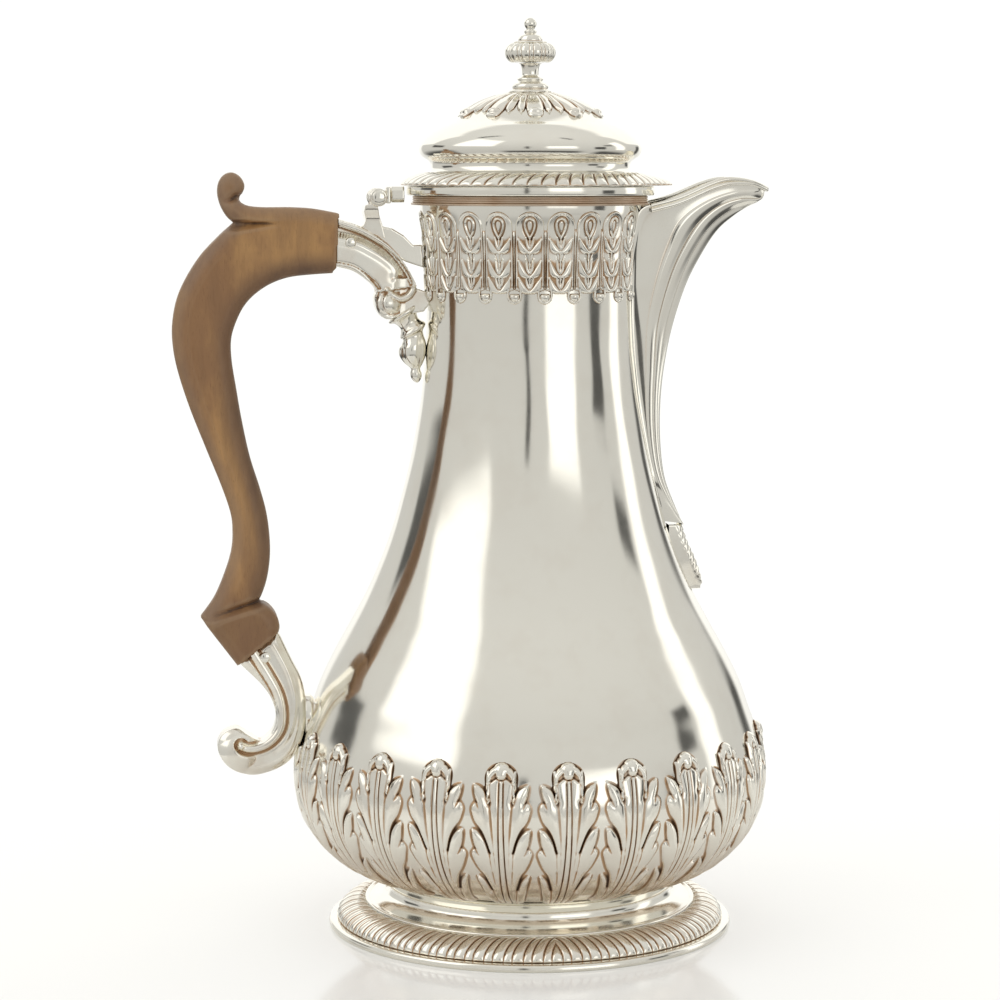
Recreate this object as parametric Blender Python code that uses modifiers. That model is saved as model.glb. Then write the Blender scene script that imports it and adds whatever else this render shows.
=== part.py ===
"""A silver coffee pot with a hinged lid and a carved wooden handle, built as separate pieces.

The vessel stands on the plane z = 0. Its spout points along +X and its handle along -X, and the
whole object's box is centred on the origin. Outlines are given in millimetres from the vessel's
own axis: (distance from the axis, height) for turned pieces, (x, z) for pieces cut from plate.
"""

import math

import bmesh
import bpy
from mathutils import Matrix, Vector

MM = 0.001

# Driving dimensions, in millimetres.
AXIS_X = 19.4            # the vessel's axis in the object's frame
STEPS = 32               # flats round every turned piece
GAP = 0.35               # clearance between neighbouring pieces
WALL = 1.3               # sheet thickness of the body
LEAVES = 22              # leaves round the belly, arches round the neck
LEAF_THICKNESS = 1.5
BAND_THICKNESS = 0.9
SPOUT_WALL = 1.0
SPOUT_HALF_WIDTH = 13.2  # half of the break in the neck's ornaments behind the spout

HINGE_X, HINGE_Z = -51.0, 245.1
KNUCKLE_RADIUS = 2.5
HINGE_PIN_RADIUS = 1.2

# The body's outer line from the lip down to the middle of its bottom.
BODY = [
    (36.6, 247.4), (36.6, 241.0), (35.2, 232.0), (34.4, 214.0), (34.6, 200.0), (36.2, 180.0),
    (39.2, 161.0), (43.2, 144.0), (48.4, 128.0), (55.6, 111.5), (64.4, 95.7), (70.8, 82.5),
    (74.3, 72.0), (77.0, 63.5), (78.6, 53.0), (77.0, 42.5), (72.6, 33.8), (65.4, 26.6),
    (54.0, 21.0), (46.0, 19.8), (0.0, 19.8),
]
LEAF_TOP, LEAF_BOTTOM = 73.0, 20.5
LID = [
    (2.1, 278.6), (7.0, 278.3), (12.0, 277.0), (17.0, 275.2), (22.0, 272.4), (25.4, 270.1),
    (29.0, 268.6), (32.8, 266.6), (35.6, 264.2), (36.7, 261.6), (35.9, 258.2), (33.9, 255.2),
    (33.2, 252.9),
]
ROSETTE_INNER, ROSETTE_OUTER = 7.2, 26.0


def start_collection(name, hidden=False):
    collection = bpy.data.collections.new(name)
    bpy.context.scene.collection.children.link(collection)
    collection.hide_render = hidden
    return collection


def finish_material(name, colour, metallic, roughness):
    material = bpy.data.materials.new(name)
    material.use_nodes = True
    shader = material.node_tree.nodes["Principled BSDF"]
    shader.inputs["Base Color"].default_value = (*colour, 1.0)
    shader.inputs["Metallic"].default_value = metallic
    shader.inputs["Roughness"].default_value = roughness
    return material


def add_object(name, mesh, collection, material=None):
    obj = bpy.data.objects.new(name, mesh)
    collection.objects.link(obj)
    obj.location = (AXIS_X * MM, 0.0, 0.0)
    if material:
        mesh.materials.append(material)
    if collection is cutters:
        obj.display_type = "WIRE"
        obj.hide_render = True
    return obj


def smooth(obj, angle=40.0):
    obj.data.shade_smooth()
    obj.data.set_sharp_from_angle(angle=math.radians(angle))


def profile_mesh(name, outline, closed):
    mesh = bpy.data.meshes.new(name)
    points = [(r * MM, 0.0, z * MM) for r, z in outline]
    edges = [(i, i + 1) for i in range(len(points) - 1)]
    if closed:
        edges.append((len(points) - 1, 0))
    mesh.from_pydata(points, edges, [])
    return mesh


def turned(name, outline, material=None, collection=None, steps=STEPS, wall=0.0):
    """Turns the outline round the vessel's axis. A wall makes the open line a shell that thick."""
    on_axis = outline[0][0] == 0.0 and outline[-1][0] == 0.0
    closed = wall == 0.0 and not on_axis
    mesh = profile_mesh(name, outline, closed)
    obj = add_object(name, mesh, collection or parts, material)
    screw = obj.modifiers.new("turn", "SCREW")
    screw.steps = screw.render_steps = steps
    screw.use_merge_vertices = True
    screw.merge_threshold = 0.00001
    screw.use_smooth_shade = True
    if wall:
        shell = obj.modifiers.new("wall", "SOLIDIFY")
        shell.thickness = wall * MM
        shell.offset = -1.0
        shell.use_even_offset = True
    return obj


def offset(outline, distance):
    """The outline moved sideways to its left as it runs downwards, away from the axis."""
    moved = []
    for i, (r, z) in enumerate(outline):
        before = Vector(outline[max(i - 1, 0)])
        after = Vector(outline[min(i + 1, len(outline) - 1)])
        along = (after - before).normalized()
        moved.append((r - along.y * distance, z + along.x * distance))
    return moved


def line_between(outline, top, bottom):
    return [(r, z) for r, z in outline if bottom <= z <= top]


def sleeve(name, line, thickness, material):
    """A closed skin that follows a line of the vessel at the usual gap."""
    inner = offset(line, GAP)
    outer = offset(line, GAP + thickness)
    return turned(name, outer + inner[::-1], material)


def spline(points, steps=4):
    """A smooth line through all the points, with the given number of steps from each to the next."""
    ends = [points[0]] + list(points) + [points[-1]]
    line = []
    for i in range(1, len(ends) - 2):
        a, b, c, d = (Vector(p) for p in ends[i - 1:i + 3])
        for k in range(steps):
            t = k / steps
            line.append(0.5 * (2 * b + (c - a) * t + (2 * a - 5 * b + 4 * c - d) * t * t
                               + (3 * b - a - 3 * c + d) * t ** 3))
    line.append(Vector(points[-1]))
    return [tuple(p) for p in line]


def arc(centre, radius, start, end, steps):
    angles = [math.radians(start + (end - start) * i / steps) for i in range(steps + 1)]
    return [(centre[0] + radius * math.cos(a), centre[1] + radius * math.sin(a)) for a in angles]


def mesh_of(obj):
    """Replaces a curve, or an object with modifiers, by its own welded mesh."""
    bpy.context.view_layer.update()
    graph = bpy.context.evaluated_depsgraph_get()
    mesh = bpy.data.meshes.new_from_object(obj.evaluated_get(graph))
    shape = bmesh.new()
    shape.from_mesh(mesh)
    shape.transform(obj.matrix_world)
    bmesh.ops.remove_doubles(shape, verts=shape.verts, dist=1e-6)
    bmesh.ops.recalc_face_normals(shape, faces=shape.faces)
    shape.to_mesh(mesh)
    shape.free()
    name, collection = obj.name, obj.users_collection[0]
    bpy.data.objects.remove(obj)
    made = add_object(name, mesh, collection)
    made.location = (0.0, 0.0, 0.0)
    return made


def plate(name, outline, half_width, material=None, collection=None, edge=0.0):
    """A flat outline in the XZ plane, thickened to both sides, with rounded edges."""
    curve = bpy.data.curves.new(name, "CURVE")
    curve.dimensions = "2D"
    curve.fill_mode = "BOTH"
    curve.extrude = (half_width - edge) * MM
    curve.bevel_depth = edge * MM
    curve.bevel_resolution = 1
    curve.offset = -edge * MM
    line = curve.splines.new("POLY")
    line.points.add(len(outline) - 1)
    for point, (x, z) in zip(line.points, outline):
        point.co = (x * MM, z * MM, 0.0, 1.0)
    line.use_cyclic_u = True
    obj = add_object(name, curve, collection or parts, material)
    obj.rotation_euler = (math.radians(90.0), 0.0, 0.0)
    return mesh_of(obj)


def rod(name, x, z, radius, half_length, material=None, collection=None, sides=16, y=0.0):
    """A round bar that lies across the vessel, along Y."""
    shape = bmesh.new()
    bmesh.ops.create_cone(shape, cap_ends=True, segments=sides, radius1=radius * MM,
                          radius2=radius * MM, depth=2 * half_length * MM)
    turn = Matrix.Rotation(math.radians(90.0), 4, "X")
    shape.transform(Matrix.Translation((x * MM, y * MM, z * MM)) @ turn)
    mesh = bpy.data.meshes.new(name)
    shape.to_mesh(mesh)
    shape.free()
    return add_object(name, mesh, collection or parts, material)


def box(name, low, high, material=None, collection=None):
    shape = bmesh.new()
    bmesh.ops.create_cube(shape, size=1.0)
    size = [(b - a) * MM for a, b in zip(low, high)]
    middle = [(a + b) / 2 * MM for a, b in zip(low, high)]
    shape.transform(Matrix.Translation(middle) @ Matrix.Diagonal((*size, 1.0)))
    mesh = bpy.data.meshes.new(name)
    shape.to_mesh(mesh)
    shape.free()
    return add_object(name, mesh, collection or parts, material)


def combine(obj, other, operation):
    change = obj.modifiers.new(operation.lower(), "BOOLEAN")
    change.operation = operation
    change.solver = "EXACT"
    change.object = other


def cut(obj, *others):
    for other in others:
        combine(obj, other, "DIFFERENCE")


def join(obj, *others):
    for other in others:
        combine(obj, other, "UNION")


def tube(name, points, radii, material, sides=2):
    """A round wire through the points, as thick at each as its own radius."""
    curve = bpy.data.curves.new(name, "CURVE")
    curve.dimensions = "3D"
    curve.bevel_depth = MM
    curve.bevel_resolution = sides
    curve.use_fill_caps = True
    line = curve.splines.new("POLY")
    line.points.add(len(points) - 1)
    for point, place, radius in zip(line.points, points, radii):
        point.co = (*(value * MM for value in place), 1.0)
        point.radius = radius
    return mesh_of(add_object(name, curve, parts, material))


# ---------------------------------------------------------------- the vessel

def make_body():
    body = turned("body_shell", BODY, silver, wall=WALL)
    holes = bpy.data.meshes.new("strainer_holes")
    shape = bmesh.new()
    for row in range(7):
        for column in (-1, 0, 1):
            height = 178.0 + 8.2 * row + 4.1 * abs(column)
            turn = Matrix.Rotation(math.radians(90.0), 4, "Y")
            place = Matrix.Translation((36.0 * MM, 6.0 * column * MM, height * MM))
            bmesh.ops.create_cone(shape, cap_ends=True, segments=6, radius1=1.5 * MM,
                                  radius2=1.5 * MM, depth=14.0 * MM, matrix=place @ turn)
    shape.to_mesh(holes)
    shape.free()
    cut(body, add_object("strainer_holes_cutter", holes, cutters))
    return body


def make_leaf_calyx():
    line = line_between(BODY, LEAF_TOP, LEAF_BOTTOM)
    calyx = sleeve("leaf_calyx", line, LEAF_THICKNESS, silver)
    notches = bpy.data.meshes.new("leaf_notches")
    shape = bmesh.new()
    for leaf in range(LEAVES):
        angle = math.radians(-90.0 + 360.0 * (leaf + 0.5) / LEAVES)
        turn = Matrix.Rotation(angle, 4, "Z") @ Matrix.Rotation(math.radians(90.0), 4, "Y")
        place = Matrix.Translation((76.0 * math.cos(angle) * MM, 76.0 * math.sin(angle) * MM,
                                    73.6 * MM))
        bmesh.ops.create_cone(shape, cap_ends=True, segments=8, radius1=4.6 * MM,
                              radius2=4.6 * MM, depth=12.0 * MM, matrix=place @ turn)
    shape.to_mesh(notches)
    shape.free()
    cut(calyx, add_object("leaf_notches_cutter", notches, cutters))
    return calyx


def make_neck_ornaments():
    top = (36.55, 240.6)
    bottom = (34.43, 210.0)
    line = [top] + line_between(BODY, top[1] - GAP, bottom[1] + GAP) + [bottom]
    band = sleeve("neck_band", line, BAND_THICKNESS, silver)
    moulding = turned("neck_moulding", [
        (38.8, 244.3), (39.3, 243.6), (38.6, 242.9), (39.3, 242.2), (38.8, 241.5),
        (36.95, 241.5), (36.95, 244.3)], silver)
    rim = turned("rim_ring", [
        (41.3, 247.4), (41.7, 246.7), (40.8, 246.0), (41.2, 245.3), (40.2, 244.65),
        (36.95, 244.65), (36.95, 247.4)], silver)
    gate = box("spout_gate_cutter", (20.0, -SPOUT_HALF_WIDTH, 200.0),
               (60.0, SPOUT_HALF_WIDTH, 244.5), collection=cutters)
    cut(band, gate)
    cut(moulding, gate)
    return band, moulding, rim


def make_foot():
    turned("foot_stem", [
        (53.2, 19.4), (49.2, 17.6), (47.4, 14.0), (48.6, 10.6), (52.0, 8.8), (55.4, 8.6)],
        silver, wall=1.1)
    turned("foot_border", [
        (55.95, 8.5), (58.2, 8.6), (61.2, 7.6), (63.6, 5.7), (65.1, 3.4), (65.2, 2.65),
        (62.8, 2.65), (61.6, 5.0), (59.4, 6.9), (57.6, 7.5), (55.95, 7.5)], silver)
    turned("foot_rim", [
        (67.2, 2.3), (68.0, 1.6), (68.2, 0.8), (67.8, 0.0), (62.4, 0.0), (62.4, 2.3)], silver)


# ---------------------------------------------------------------- the spout

# The keel's (x, z), and beside it the edge's (x, half width, z), from the root to the tip. The
# edge's distance from the axis is worked out from the body where it runs down the neck.
KEEL = [
    (52.2, 134.6), (48.4, 143.2), (45.4, 152.0), (44.0, 164.0), (43.9, 177.0), (45.4, 190.6),
    (49.0, 207.0), (54.0, 221.0), (60.2, 231.5), (66.8, 237.5), (72.8, 241.5), (77.0, 244.4),
    (78.6, 245.3),
]
EDGE = [
    (None, 2.0, 137.0), (None, 4.2, 146.0), (None, 5.8, 155.0), (None, 7.4, 168.0),
    (None, 8.8, 182.0), (None, 10.0, 198.0), (None, 11.0, 216.0), (None, 11.6, 232.0),
    (42.0, 11.0, 239.0), (49.0, 9.5, 241.5), (58.5, 7.7, 246.2), (68.5, 5.4, 248.2),
    (76.0, 2.4, 246.1),
]
SPOUT_ACROSS = 5          # steps from the keel to the edge


def radius_at(height):
    for (r_high, z_high), (r_low, z_low) in zip(BODY, BODY[1:]):
        if z_low <= height <= z_high and z_high > z_low:
            return r_low + (r_high - r_low) * (height - z_low) / (z_high - z_low)
    return BODY[0][0]


def spout_point(station, side):
    """A point of the spout's side: 0 on the keel, 1 and -1 on the two edges."""
    keel_x, keel_z = KEEL[station]
    edge_x, half, edge_z = EDGE[station]
    if edge_x is None:
        stand_off = radius_at(edge_z) + GAP + 0.3
        edge_x = math.sqrt(stand_off ** 2 - half ** 2)
    turn = abs(side) * math.pi / 2
    reach = 1.0 - math.cos(turn)
    return Vector((keel_x + (edge_x - keel_x) * reach, math.copysign(half, side) * math.sin(turn),
                   keel_z + (edge_z - keel_z) * reach)) * MM


def make_spout():
    shape = bmesh.new()
    rows = []
    for station in range(len(KEEL)):
        sides = [i / SPOUT_ACROSS for i in range(-SPOUT_ACROSS, SPOUT_ACROSS + 1)]
        rows.append([shape.verts.new(spout_point(station, side)) for side in sides])
    for lower, upper in zip(rows, rows[1:]):
        for i in range(len(lower) - 1):
            shape.faces.new((lower[i], lower[i + 1], upper[i + 1], upper[i]))
    mesh = bpy.data.meshes.new("spout")
    shape.to_mesh(mesh)
    shape.free()
    spout = add_object("spout", mesh, parts, silver)
    shell = spout.modifiers.new("wall", "SOLIDIFY")
    shell.thickness = SPOUT_WALL * MM
    shell.offset = -1.0
    shell.use_even_offset = True
    cut(spout, vessel_clearance)
    smooth(spout)
    return spout


def make_spout_wire():
    near = [
        (44.2, 10.9, 242.0), (48.6, 9.7, 243.9), (53.2, 8.9, 246.2), (57.6, 8.1, 248.6),
        (62.4, 7.1, 250.3), (67.2, 6.0, 250.9), (72.0, 4.6, 250.6), (76.0, 2.9, 249.2),
        (78.4, 1.2, 248.0),
    ]
    points = [(x, -y, z) for x, y, z in near] + [(x, y, z) for x, y, z in near[::-1]]
    wire = tube("spout_rim_wire", points, [1.2] * len(points), silver)
    smooth(wire)
    return wire


def make_spout_drop():
    right = spline([(51.6, 133.2), (53.9, 128.5), (57.0, 121.6), (58.9, 116.2), (58.2, 113.4)])
    left = [(54.6, 113.8), (50.0, 122.0), (46.6, 131.0)]
    drop = plate("spout_drop", right + left, 4.6, silver, edge=1.4)
    cut(drop, vessel_clearance)
    smooth(drop)
    return drop


# ---------------------------------------------------------------- the handle

UPPER_PIN = (-60.2, 230.3)
LOWER_PIN = (-89.4, 93.2)
PIN_RADIUS = 1.5
UPPER_FACE = [(-63.8, 239.9), (-64.9, 222.1)]
LOWER_FACE = [(-98.5, 90.4), (-84.9, 101.4)]


def slot_outline(face, half_height, depth, start):
    """A rectangle that runs into a socket, square to the handle's end face."""
    top, bottom = (Vector(p) for p in face)
    middle = (top + bottom) / 2
    across = (top - bottom).normalized()
    inwards = Vector((across.y, -across.x))
    corners = [(start, half_height), (depth, half_height), (depth, -half_height),
               (start, -half_height)]
    return [tuple(middle + inwards * a + across * b) for a, b in corners]


def make_handle():
    outer = spline([
        (-98.5, 236.9), (-103.2, 232.9), (-108.9, 226.6), (-113.7, 219.6), (-117.2, 212.0),
        (-118.8, 203.5), (-118.4, 195.0), (-116.0, 184.0), (-112.2, 173.0), (-106.8, 159.5),
        (-102.2, 147.0), (-99.9, 138.5), (-99.8, 130.5), (-101.9, 122.4), (-105.8, 113.4),
        (-110.7, 106.4)], 2)
    inner = spline([
        (-90.9, 111.7), (-88.4, 119.0), (-87.5, 127.0), (-88.0, 137.5), (-90.4, 149.0),
        (-94.0, 161.0), (-97.0, 175.0), (-99.2, 189.0), (-99.3, 199.5), (-96.4, 208.0),
        (-91.0, 214.3), (-84.6, 217.7), (-78.0, 219.6), (-66.4, 220.1)], 2)
    top = spline([(-63.8, 239.9), (-72.0, 241.5), (-82.0, 241.9), (-90.5, 242.0),
                  (-95.1, 243.0)], 2)
    scroll = spline([
        (-96.2, 244.6), (-94.7, 248.0), (-95.6, 251.4), (-98.9, 253.3), (-102.0, 251.8),
        (-103.5, 247.4), (-102.6, 242.7), (-100.7, 239.4)], 2)
    outline = outer + inner + [(-64.9, 222.1)] + top + scroll
    handle = plate("handle_wood", outline, 7.0, wood, edge=2.4)
    knob_line = [(-110.7, 106.4), (-98.5, 90.4), (-84.9, 101.4), (-84.7, 104.1), (-87.3, 109.2),
                 (-90.9, 111.9), (-97.0, 110.0)]
    knob = plate("handle_knob_part", knob_line, 8.4, collection=cutters, edge=2.2)
    upper_tenon = plate("upper_tenon_part", slot_outline(UPPER_FACE, 4.8, 6.4, -4.0), 4.0,
                        collection=cutters)
    lower_tenon = plate("lower_tenon_part", slot_outline(LOWER_FACE, 3.6, 7.0, -4.0), 3.6,
                        collection=cutters)
    join(handle, knob, upper_tenon, lower_tenon)
    cut(handle, *pin_holes())
    smooth(handle)
    return handle


def pin_holes():
    holes = []
    for name, (x, z) in (("upper", UPPER_PIN), ("lower", LOWER_PIN)):
        cutter_name = name + "_pin_hole_cutter"
        hole = bpy.data.objects.get(cutter_name)
        if hole is None:
            hole = rod(cutter_name, x, z, PIN_RADIUS + GAP, 15.0, collection=cutters, sides=12)
        holes.append(hole)
    return holes


def make_upper_socket():
    outline = spline([(-63.4, 237.8), (-56.7, 235.5), (-48.8, 230.3), (-43.6, 225.0),
                      (-39.9, 219.2), (-36.4, 214.0)], 2)
    outline += spline([(-33.0, 211.0), (-36.6, 205.9), (-43.0, 204.8), (-48.9, 205.0),
                       (-52.0, 208.6), (-51.8, 214.5), (-54.7, 217.7), (-59.4, 220.8),
                       (-64.4, 222.3)], 2)
    socket = plate("upper_socket", outline, 7.6, silver, edge=1.2)
    pocket = plate("upper_pocket_cutter", slot_outline(UPPER_FACE, 4.8 + GAP, 6.4 + GAP, -4.0),
                   4.0 + GAP, collection=cutters)
    cut(socket, vessel_clearance, pocket, pin_holes()[0])
    smooth(socket)
    return socket


def make_socket_drop():
    line = [
        (0.0, 204.3), (5.4, 204.3), (5.4, 203.2), (4.1, 202.2), (3.6, 200.2), (4.2, 199.4),
        (3.2, 198.4), (4.0, 195.6), (3.9, 193.2), (2.7, 190.0), (1.4, 188.4), (1.7, 186.6),
        (1.3, 184.4), (0.0, 183.3)]
    drop = turned("socket_drop", line, silver, steps=16)
    drop.location.x += -40.6 * MM
    cut(drop, vessel_clearance)
    return drop


def make_lower_socket():
    outline = spline([(-84.9, 100.2), (-80.5, 92.0), (-77.6, 85.8), (-76.1, 79.0), (-75.9, 70.0),
                      (-78.8, 61.3), (-84.4, 55.8), (-93.8, 53.2), (-101.5, 56.2),
                      (-105.3, 61.9), (-103.9, 67.0), (-99.2, 69.2), (-95.8, 67.3),
                      (-90.9, 64.9), (-87.7, 67.1), (-85.9, 74.0), (-87.6, 79.3),
                      (-91.0, 84.2), (-96.9, 89.9)], 2)
    shift = Vector((0.65, -0.76)) * GAP
    outline = [tuple(Vector(p) + shift) for p in outline]
    socket = plate("lower_socket", outline, 6.6, silver, edge=1.6)
    pocket = plate("lower_pocket_cutter", slot_outline(LOWER_FACE, 3.6 + GAP, 7.0 + GAP, -4.0),
                   3.6 + GAP, collection=cutters)
    cut(socket, vessel_clearance, pocket, pin_holes()[1])
    smooth(socket)
    return socket


def make_lower_boss():
    boss = plate("lower_boss", [(-75.2, 79.4), (-75.2, 73.6), (-66.0, 73.6), (-66.0, 79.4)], 7.2,
                 silver)
    cut(boss, vessel_clearance)
    return boss


def make_handle_pins():
    rod("upper_handle_pin", *UPPER_PIN, PIN_RADIUS, 8.0, silver)
    rod("lower_handle_pin", *LOWER_PIN, PIN_RADIUS, 7.0, silver)


# ---------------------------------------------------------------- the hinge

def make_hinge_bracket():
    centre = (HINGE_X, HINGE_Z)
    foot = [(-55.8, 236.1), (-50.3, 233.4), (-50.3, 241.8), (-55.2, 241.8)]
    bracket = plate("hinge_bracket", foot, 7.0, silver)
    cheek = arc(centre, KNUCKLE_RADIUS, -35.0, 205.0, 10) + [(-55.0, 240.0), (-50.4, 240.0)]
    for side in (-1, 1):
        part = plate("hinge_cheek_part", cheek, 2.05, collection=cutters)
        part.location.y = side * 4.9 * MM
        join(bracket, part)
    hole = rod("hinge_hole_cutter", *centre, HINGE_PIN_RADIUS + 0.3, 12.0, collection=cutters)
    cut(bracket, hole)
    return bracket


def make_hinge_pin():
    pin = rod("hinge_pin", HINGE_X, HINGE_Z, HINGE_PIN_RADIUS, 7.7, silver)
    for side in (-1, 1):
        head = rod("hinge_pin_head_part", HINGE_X, HINGE_Z, 2.1, 0.45, collection=cutters,
                   y=side * 7.8)
        join(pin, head)
    return pin


# ---------------------------------------------------------------- the lid

def make_lid():
    turned("lid_shell", LID, silver, wall=1.0)
    make_lid_flange()
    turned("lid_bezel", [(34.6, 249.9), (34.6, 242.2), (34.2, 241.5), (33.6, 241.5),
                         (33.6, 249.9)], silver)
    line = [p for p in LID if ROSETTE_INNER < p[0] < ROSETTE_OUTER and p[1] > 269.0]
    sleeve("lid_rosette", line, 1.2, silver)


def make_lid_flange():
    """A ring with a short peak over the spout."""
    flange = mesh_of(turned("lid_flange", [
        (33.6, 252.4), (36.8, 251.6), (40.4, 250.2), (42.6, 248.9), (43.1, 248.3), (42.7, 247.8),
        (39.6, 247.8), (37.4, 249.6), (34.8, 250.4), (32.2, 250.9), (32.2, 252.4)], silver))
    centre = Vector((AXIS_X * MM, 0.0))
    for vertex in flange.data.vertices:
        place = vertex.co.xy - centre
        angle = abs(math.degrees(math.atan2(place.y, place.x)))
        reach = max(0.0, (place.length / MM - 37.5) / 5.6)
        peak = max(0.0, 1.0 - angle / 24.6) * 5.2 * reach
        vertex.co.xy = centre + place * (1.0 + peak * MM / place.length)
    smooth(flange)
    return flange


def make_lid_arm():
    plate_line = [(-46.6, 248.4), (-43.6, 248.4), (-43.6, 247.4), (-42.3, 247.4),
                  (-42.3, 243.4), (-46.6, 243.4)]
    arm = plate("lid_hinge_arm", plate_line, 4.2, silver)
    knuckle = rod("lid_knuckle_part", HINGE_X, HINGE_Z, KNUCKLE_RADIUS, 2.4, collection=cutters,
                  sides=20)
    neck = box("lid_arm_neck_part", (-51.0, -2.4, 243.9), (-45.0, 2.4, 247.0), collection=cutters)
    join(arm, neck, knuckle)
    hole = rod("lid_knuckle_hole_cutter", HINGE_X, HINGE_Z, HINGE_PIN_RADIUS + 0.3, 6.0,
               collection=cutters)
    cut(arm, hole)
    return arm


def make_finial():
    turned("finial_base", [
        (3.3, 288.9), (2.9, 287.4), (2.8, 285.4), (3.4, 284.6), (4.3, 283.9), (4.2, 283.0),
        (5.4, 282.4), (6.2, 281.4), (6.0, 280.4), (6.6, 279.9), (6.6, 278.95), (1.9, 278.95),
        (1.9, 288.9)], silver, steps=24)
    turned("finial_bun", [
        (4.5, 295.1), (7.2, 294.4), (8.35, 292.4), (7.6, 290.6), (5.6, 289.5), (4.0, 289.25),
        (1.9, 289.25), (1.9, 295.1)], silver, steps=24)
    turned("finial_top", [
        (0.0, 304.0), (1.3, 303.5), (2.05, 302.2), (1.5, 300.8), (2.1, 299.6), (2.0, 298.8),
        (3.2, 298.3), (3.9, 297.0), (4.1, 296.2), (5.5, 295.9), (5.5, 295.45), (1.5, 295.45),
        (1.5, 273.0), (0.0, 273.0)], silver, steps=16)
    turned("finial_nut", [(3.6, 277.0), (3.6, 274.2), (1.85, 274.2), (1.85, 277.0)], silver,
           steps=6)


# ---------------------------------------------------------------- assembly

for leftover in list(bpy.data.objects):
    bpy.data.objects.remove(leftover)
parts = start_collection("silver_coffee_pot")
cutters = start_collection("cutters", hidden=True)
silver = finish_material("polished_silver", (0.86, 0.84, 0.79), 1.0, 0.18)
wood = finish_material("fruitwood", (0.30, 0.17, 0.09), 0.0, 0.45)

clearance_line = (
    [(0.0, 260.0), (36.6 + GAP, 260.0), (36.6 + GAP, 240.95)]
    + offset([(36.58, 240.9), (35.2, 232.0), (34.4, 214.0), (34.43, 209.8)],
             2 * GAP + BAND_THICKNESS)
    + offset([p for p in BODY if 75.0 < p[1] < 209.0], GAP)
    + offset([p for p in BODY if 20.5 < p[1] < 73.5], 2 * GAP + LEAF_THICKNESS)
    + [(53.0, 15.0), (0.0, 15.0)])
vessel_clearance = turned("vessel_clearance_cutter", clearance_line, collection=cutters)

make_body()
make_leaf_calyx()
make_neck_ornaments()
make_foot()
make_spout()
make_spout_wire()
make_spout_drop()
make_handle()
make_upper_socket()
make_socket_drop()
make_lower_socket()
make_lower_boss()
make_handle_pins()
make_hinge_bracket()
make_hinge_pin()
make_lid()
make_lid_arm()
make_finial()
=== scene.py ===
"""A silver coffee pot with a hinged lid and a carved wooden handle: the visual model.

Lengths are in millimetres from the vessel's own axis, with the spout towards +X and the handle
towards -X, and every mesh is moved into the shared frame, in metres, as it is made.
"""

import math

import bpy
import numpy as np
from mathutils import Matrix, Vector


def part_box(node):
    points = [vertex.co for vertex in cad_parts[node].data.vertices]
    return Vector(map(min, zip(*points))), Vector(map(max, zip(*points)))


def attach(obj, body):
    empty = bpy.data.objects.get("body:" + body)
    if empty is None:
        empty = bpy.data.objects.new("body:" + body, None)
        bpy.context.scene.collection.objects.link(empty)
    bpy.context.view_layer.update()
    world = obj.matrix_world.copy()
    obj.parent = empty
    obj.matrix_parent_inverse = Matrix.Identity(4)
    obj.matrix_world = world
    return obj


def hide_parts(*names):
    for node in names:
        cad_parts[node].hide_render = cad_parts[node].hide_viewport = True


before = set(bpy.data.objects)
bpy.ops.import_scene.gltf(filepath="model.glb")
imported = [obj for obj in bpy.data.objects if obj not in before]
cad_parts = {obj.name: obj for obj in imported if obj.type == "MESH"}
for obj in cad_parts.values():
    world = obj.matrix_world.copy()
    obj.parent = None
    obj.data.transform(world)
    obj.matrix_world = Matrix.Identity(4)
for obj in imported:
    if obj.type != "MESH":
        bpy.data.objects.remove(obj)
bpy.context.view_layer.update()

MM = 0.001
BODY_LOW, BODY_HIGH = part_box("body_shell")
AXIS = (BODY_LOW + BODY_HIGH) / 2         # the vessel's axis in the shared frame, in metres

FRONT = -math.pi / 2                      # the side that faces -Y
LEAVES = 23                               # leaves round the belly
ARCHES = 22                               # arches round the neck
GADROONS = 64                             # pairs of gadroons round the foot
LID_GADROONS = 58                         # gadroons round the lid
ROSETTE_LEAVES = 10
BUN_FLUTES = 12

TABLE = 0.3                               # the table top's radius, in metres
BLUR = 0.75                               # how far from an edge the tarnish spreads

# The body's outer line, from the lip down to the edge of its bottom.
BODY_LINE = [
    (36.6, 247.4), (36.6, 241.0), (35.6, 235.5), (34.9, 229.0), (34.45, 219.0), (34.4, 210.0),
    (34.7, 198.0), (35.4, 189.0), (36.5, 178.0), (38.1, 168.0), (40.1, 157.5), (42.7, 146.6),
    (45.9, 135.5), (50.0, 124.2), (54.9, 113.2), (60.5, 102.8), (66.0, 92.8), (70.6, 83.4),
    (73.6, 75.0), (76.3, 67.0), (78.3, 58.0), (78.5, 50.0), (77.2, 42.3), (74.2, 35.4),
    (69.6, 29.2), (63.3, 24.0), (55.4, 20.3),
]


# ------------------------------------------------------------------ lines and grids

def along(line):
    """The distance run at each point of a line."""
    return np.r_[0.0, np.cumsum(np.linalg.norm(np.diff(line, axis=0), axis=1))]


def resample(line, count):
    """The same line with its points evenly spaced."""
    line = np.asarray(line, float)
    run = along(line)
    at = np.linspace(0.0, run[-1], count)
    return np.stack([np.interp(at, run, line[:, k]) for k in range(line.shape[1])], axis=1)


def curve_by_index(points, at):
    """Points of a smooth line at fractional positions, where whole numbers are the given points."""
    p = np.vstack([2 * points[0] - points[1], points, 2 * points[-1] - points[-2]])
    i = np.minimum(at.astype(int), len(points) - 2)
    t = (at - i)[:, None]
    a, b, c, d = p[i], p[i + 1], p[i + 2], p[i + 3]
    return 0.5 * (2 * b + (c - a) * t + (2 * a - 5 * b + 4 * c - d) * t ** 2
                  + (3 * b - a - 3 * c + d) * t ** 3)


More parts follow.
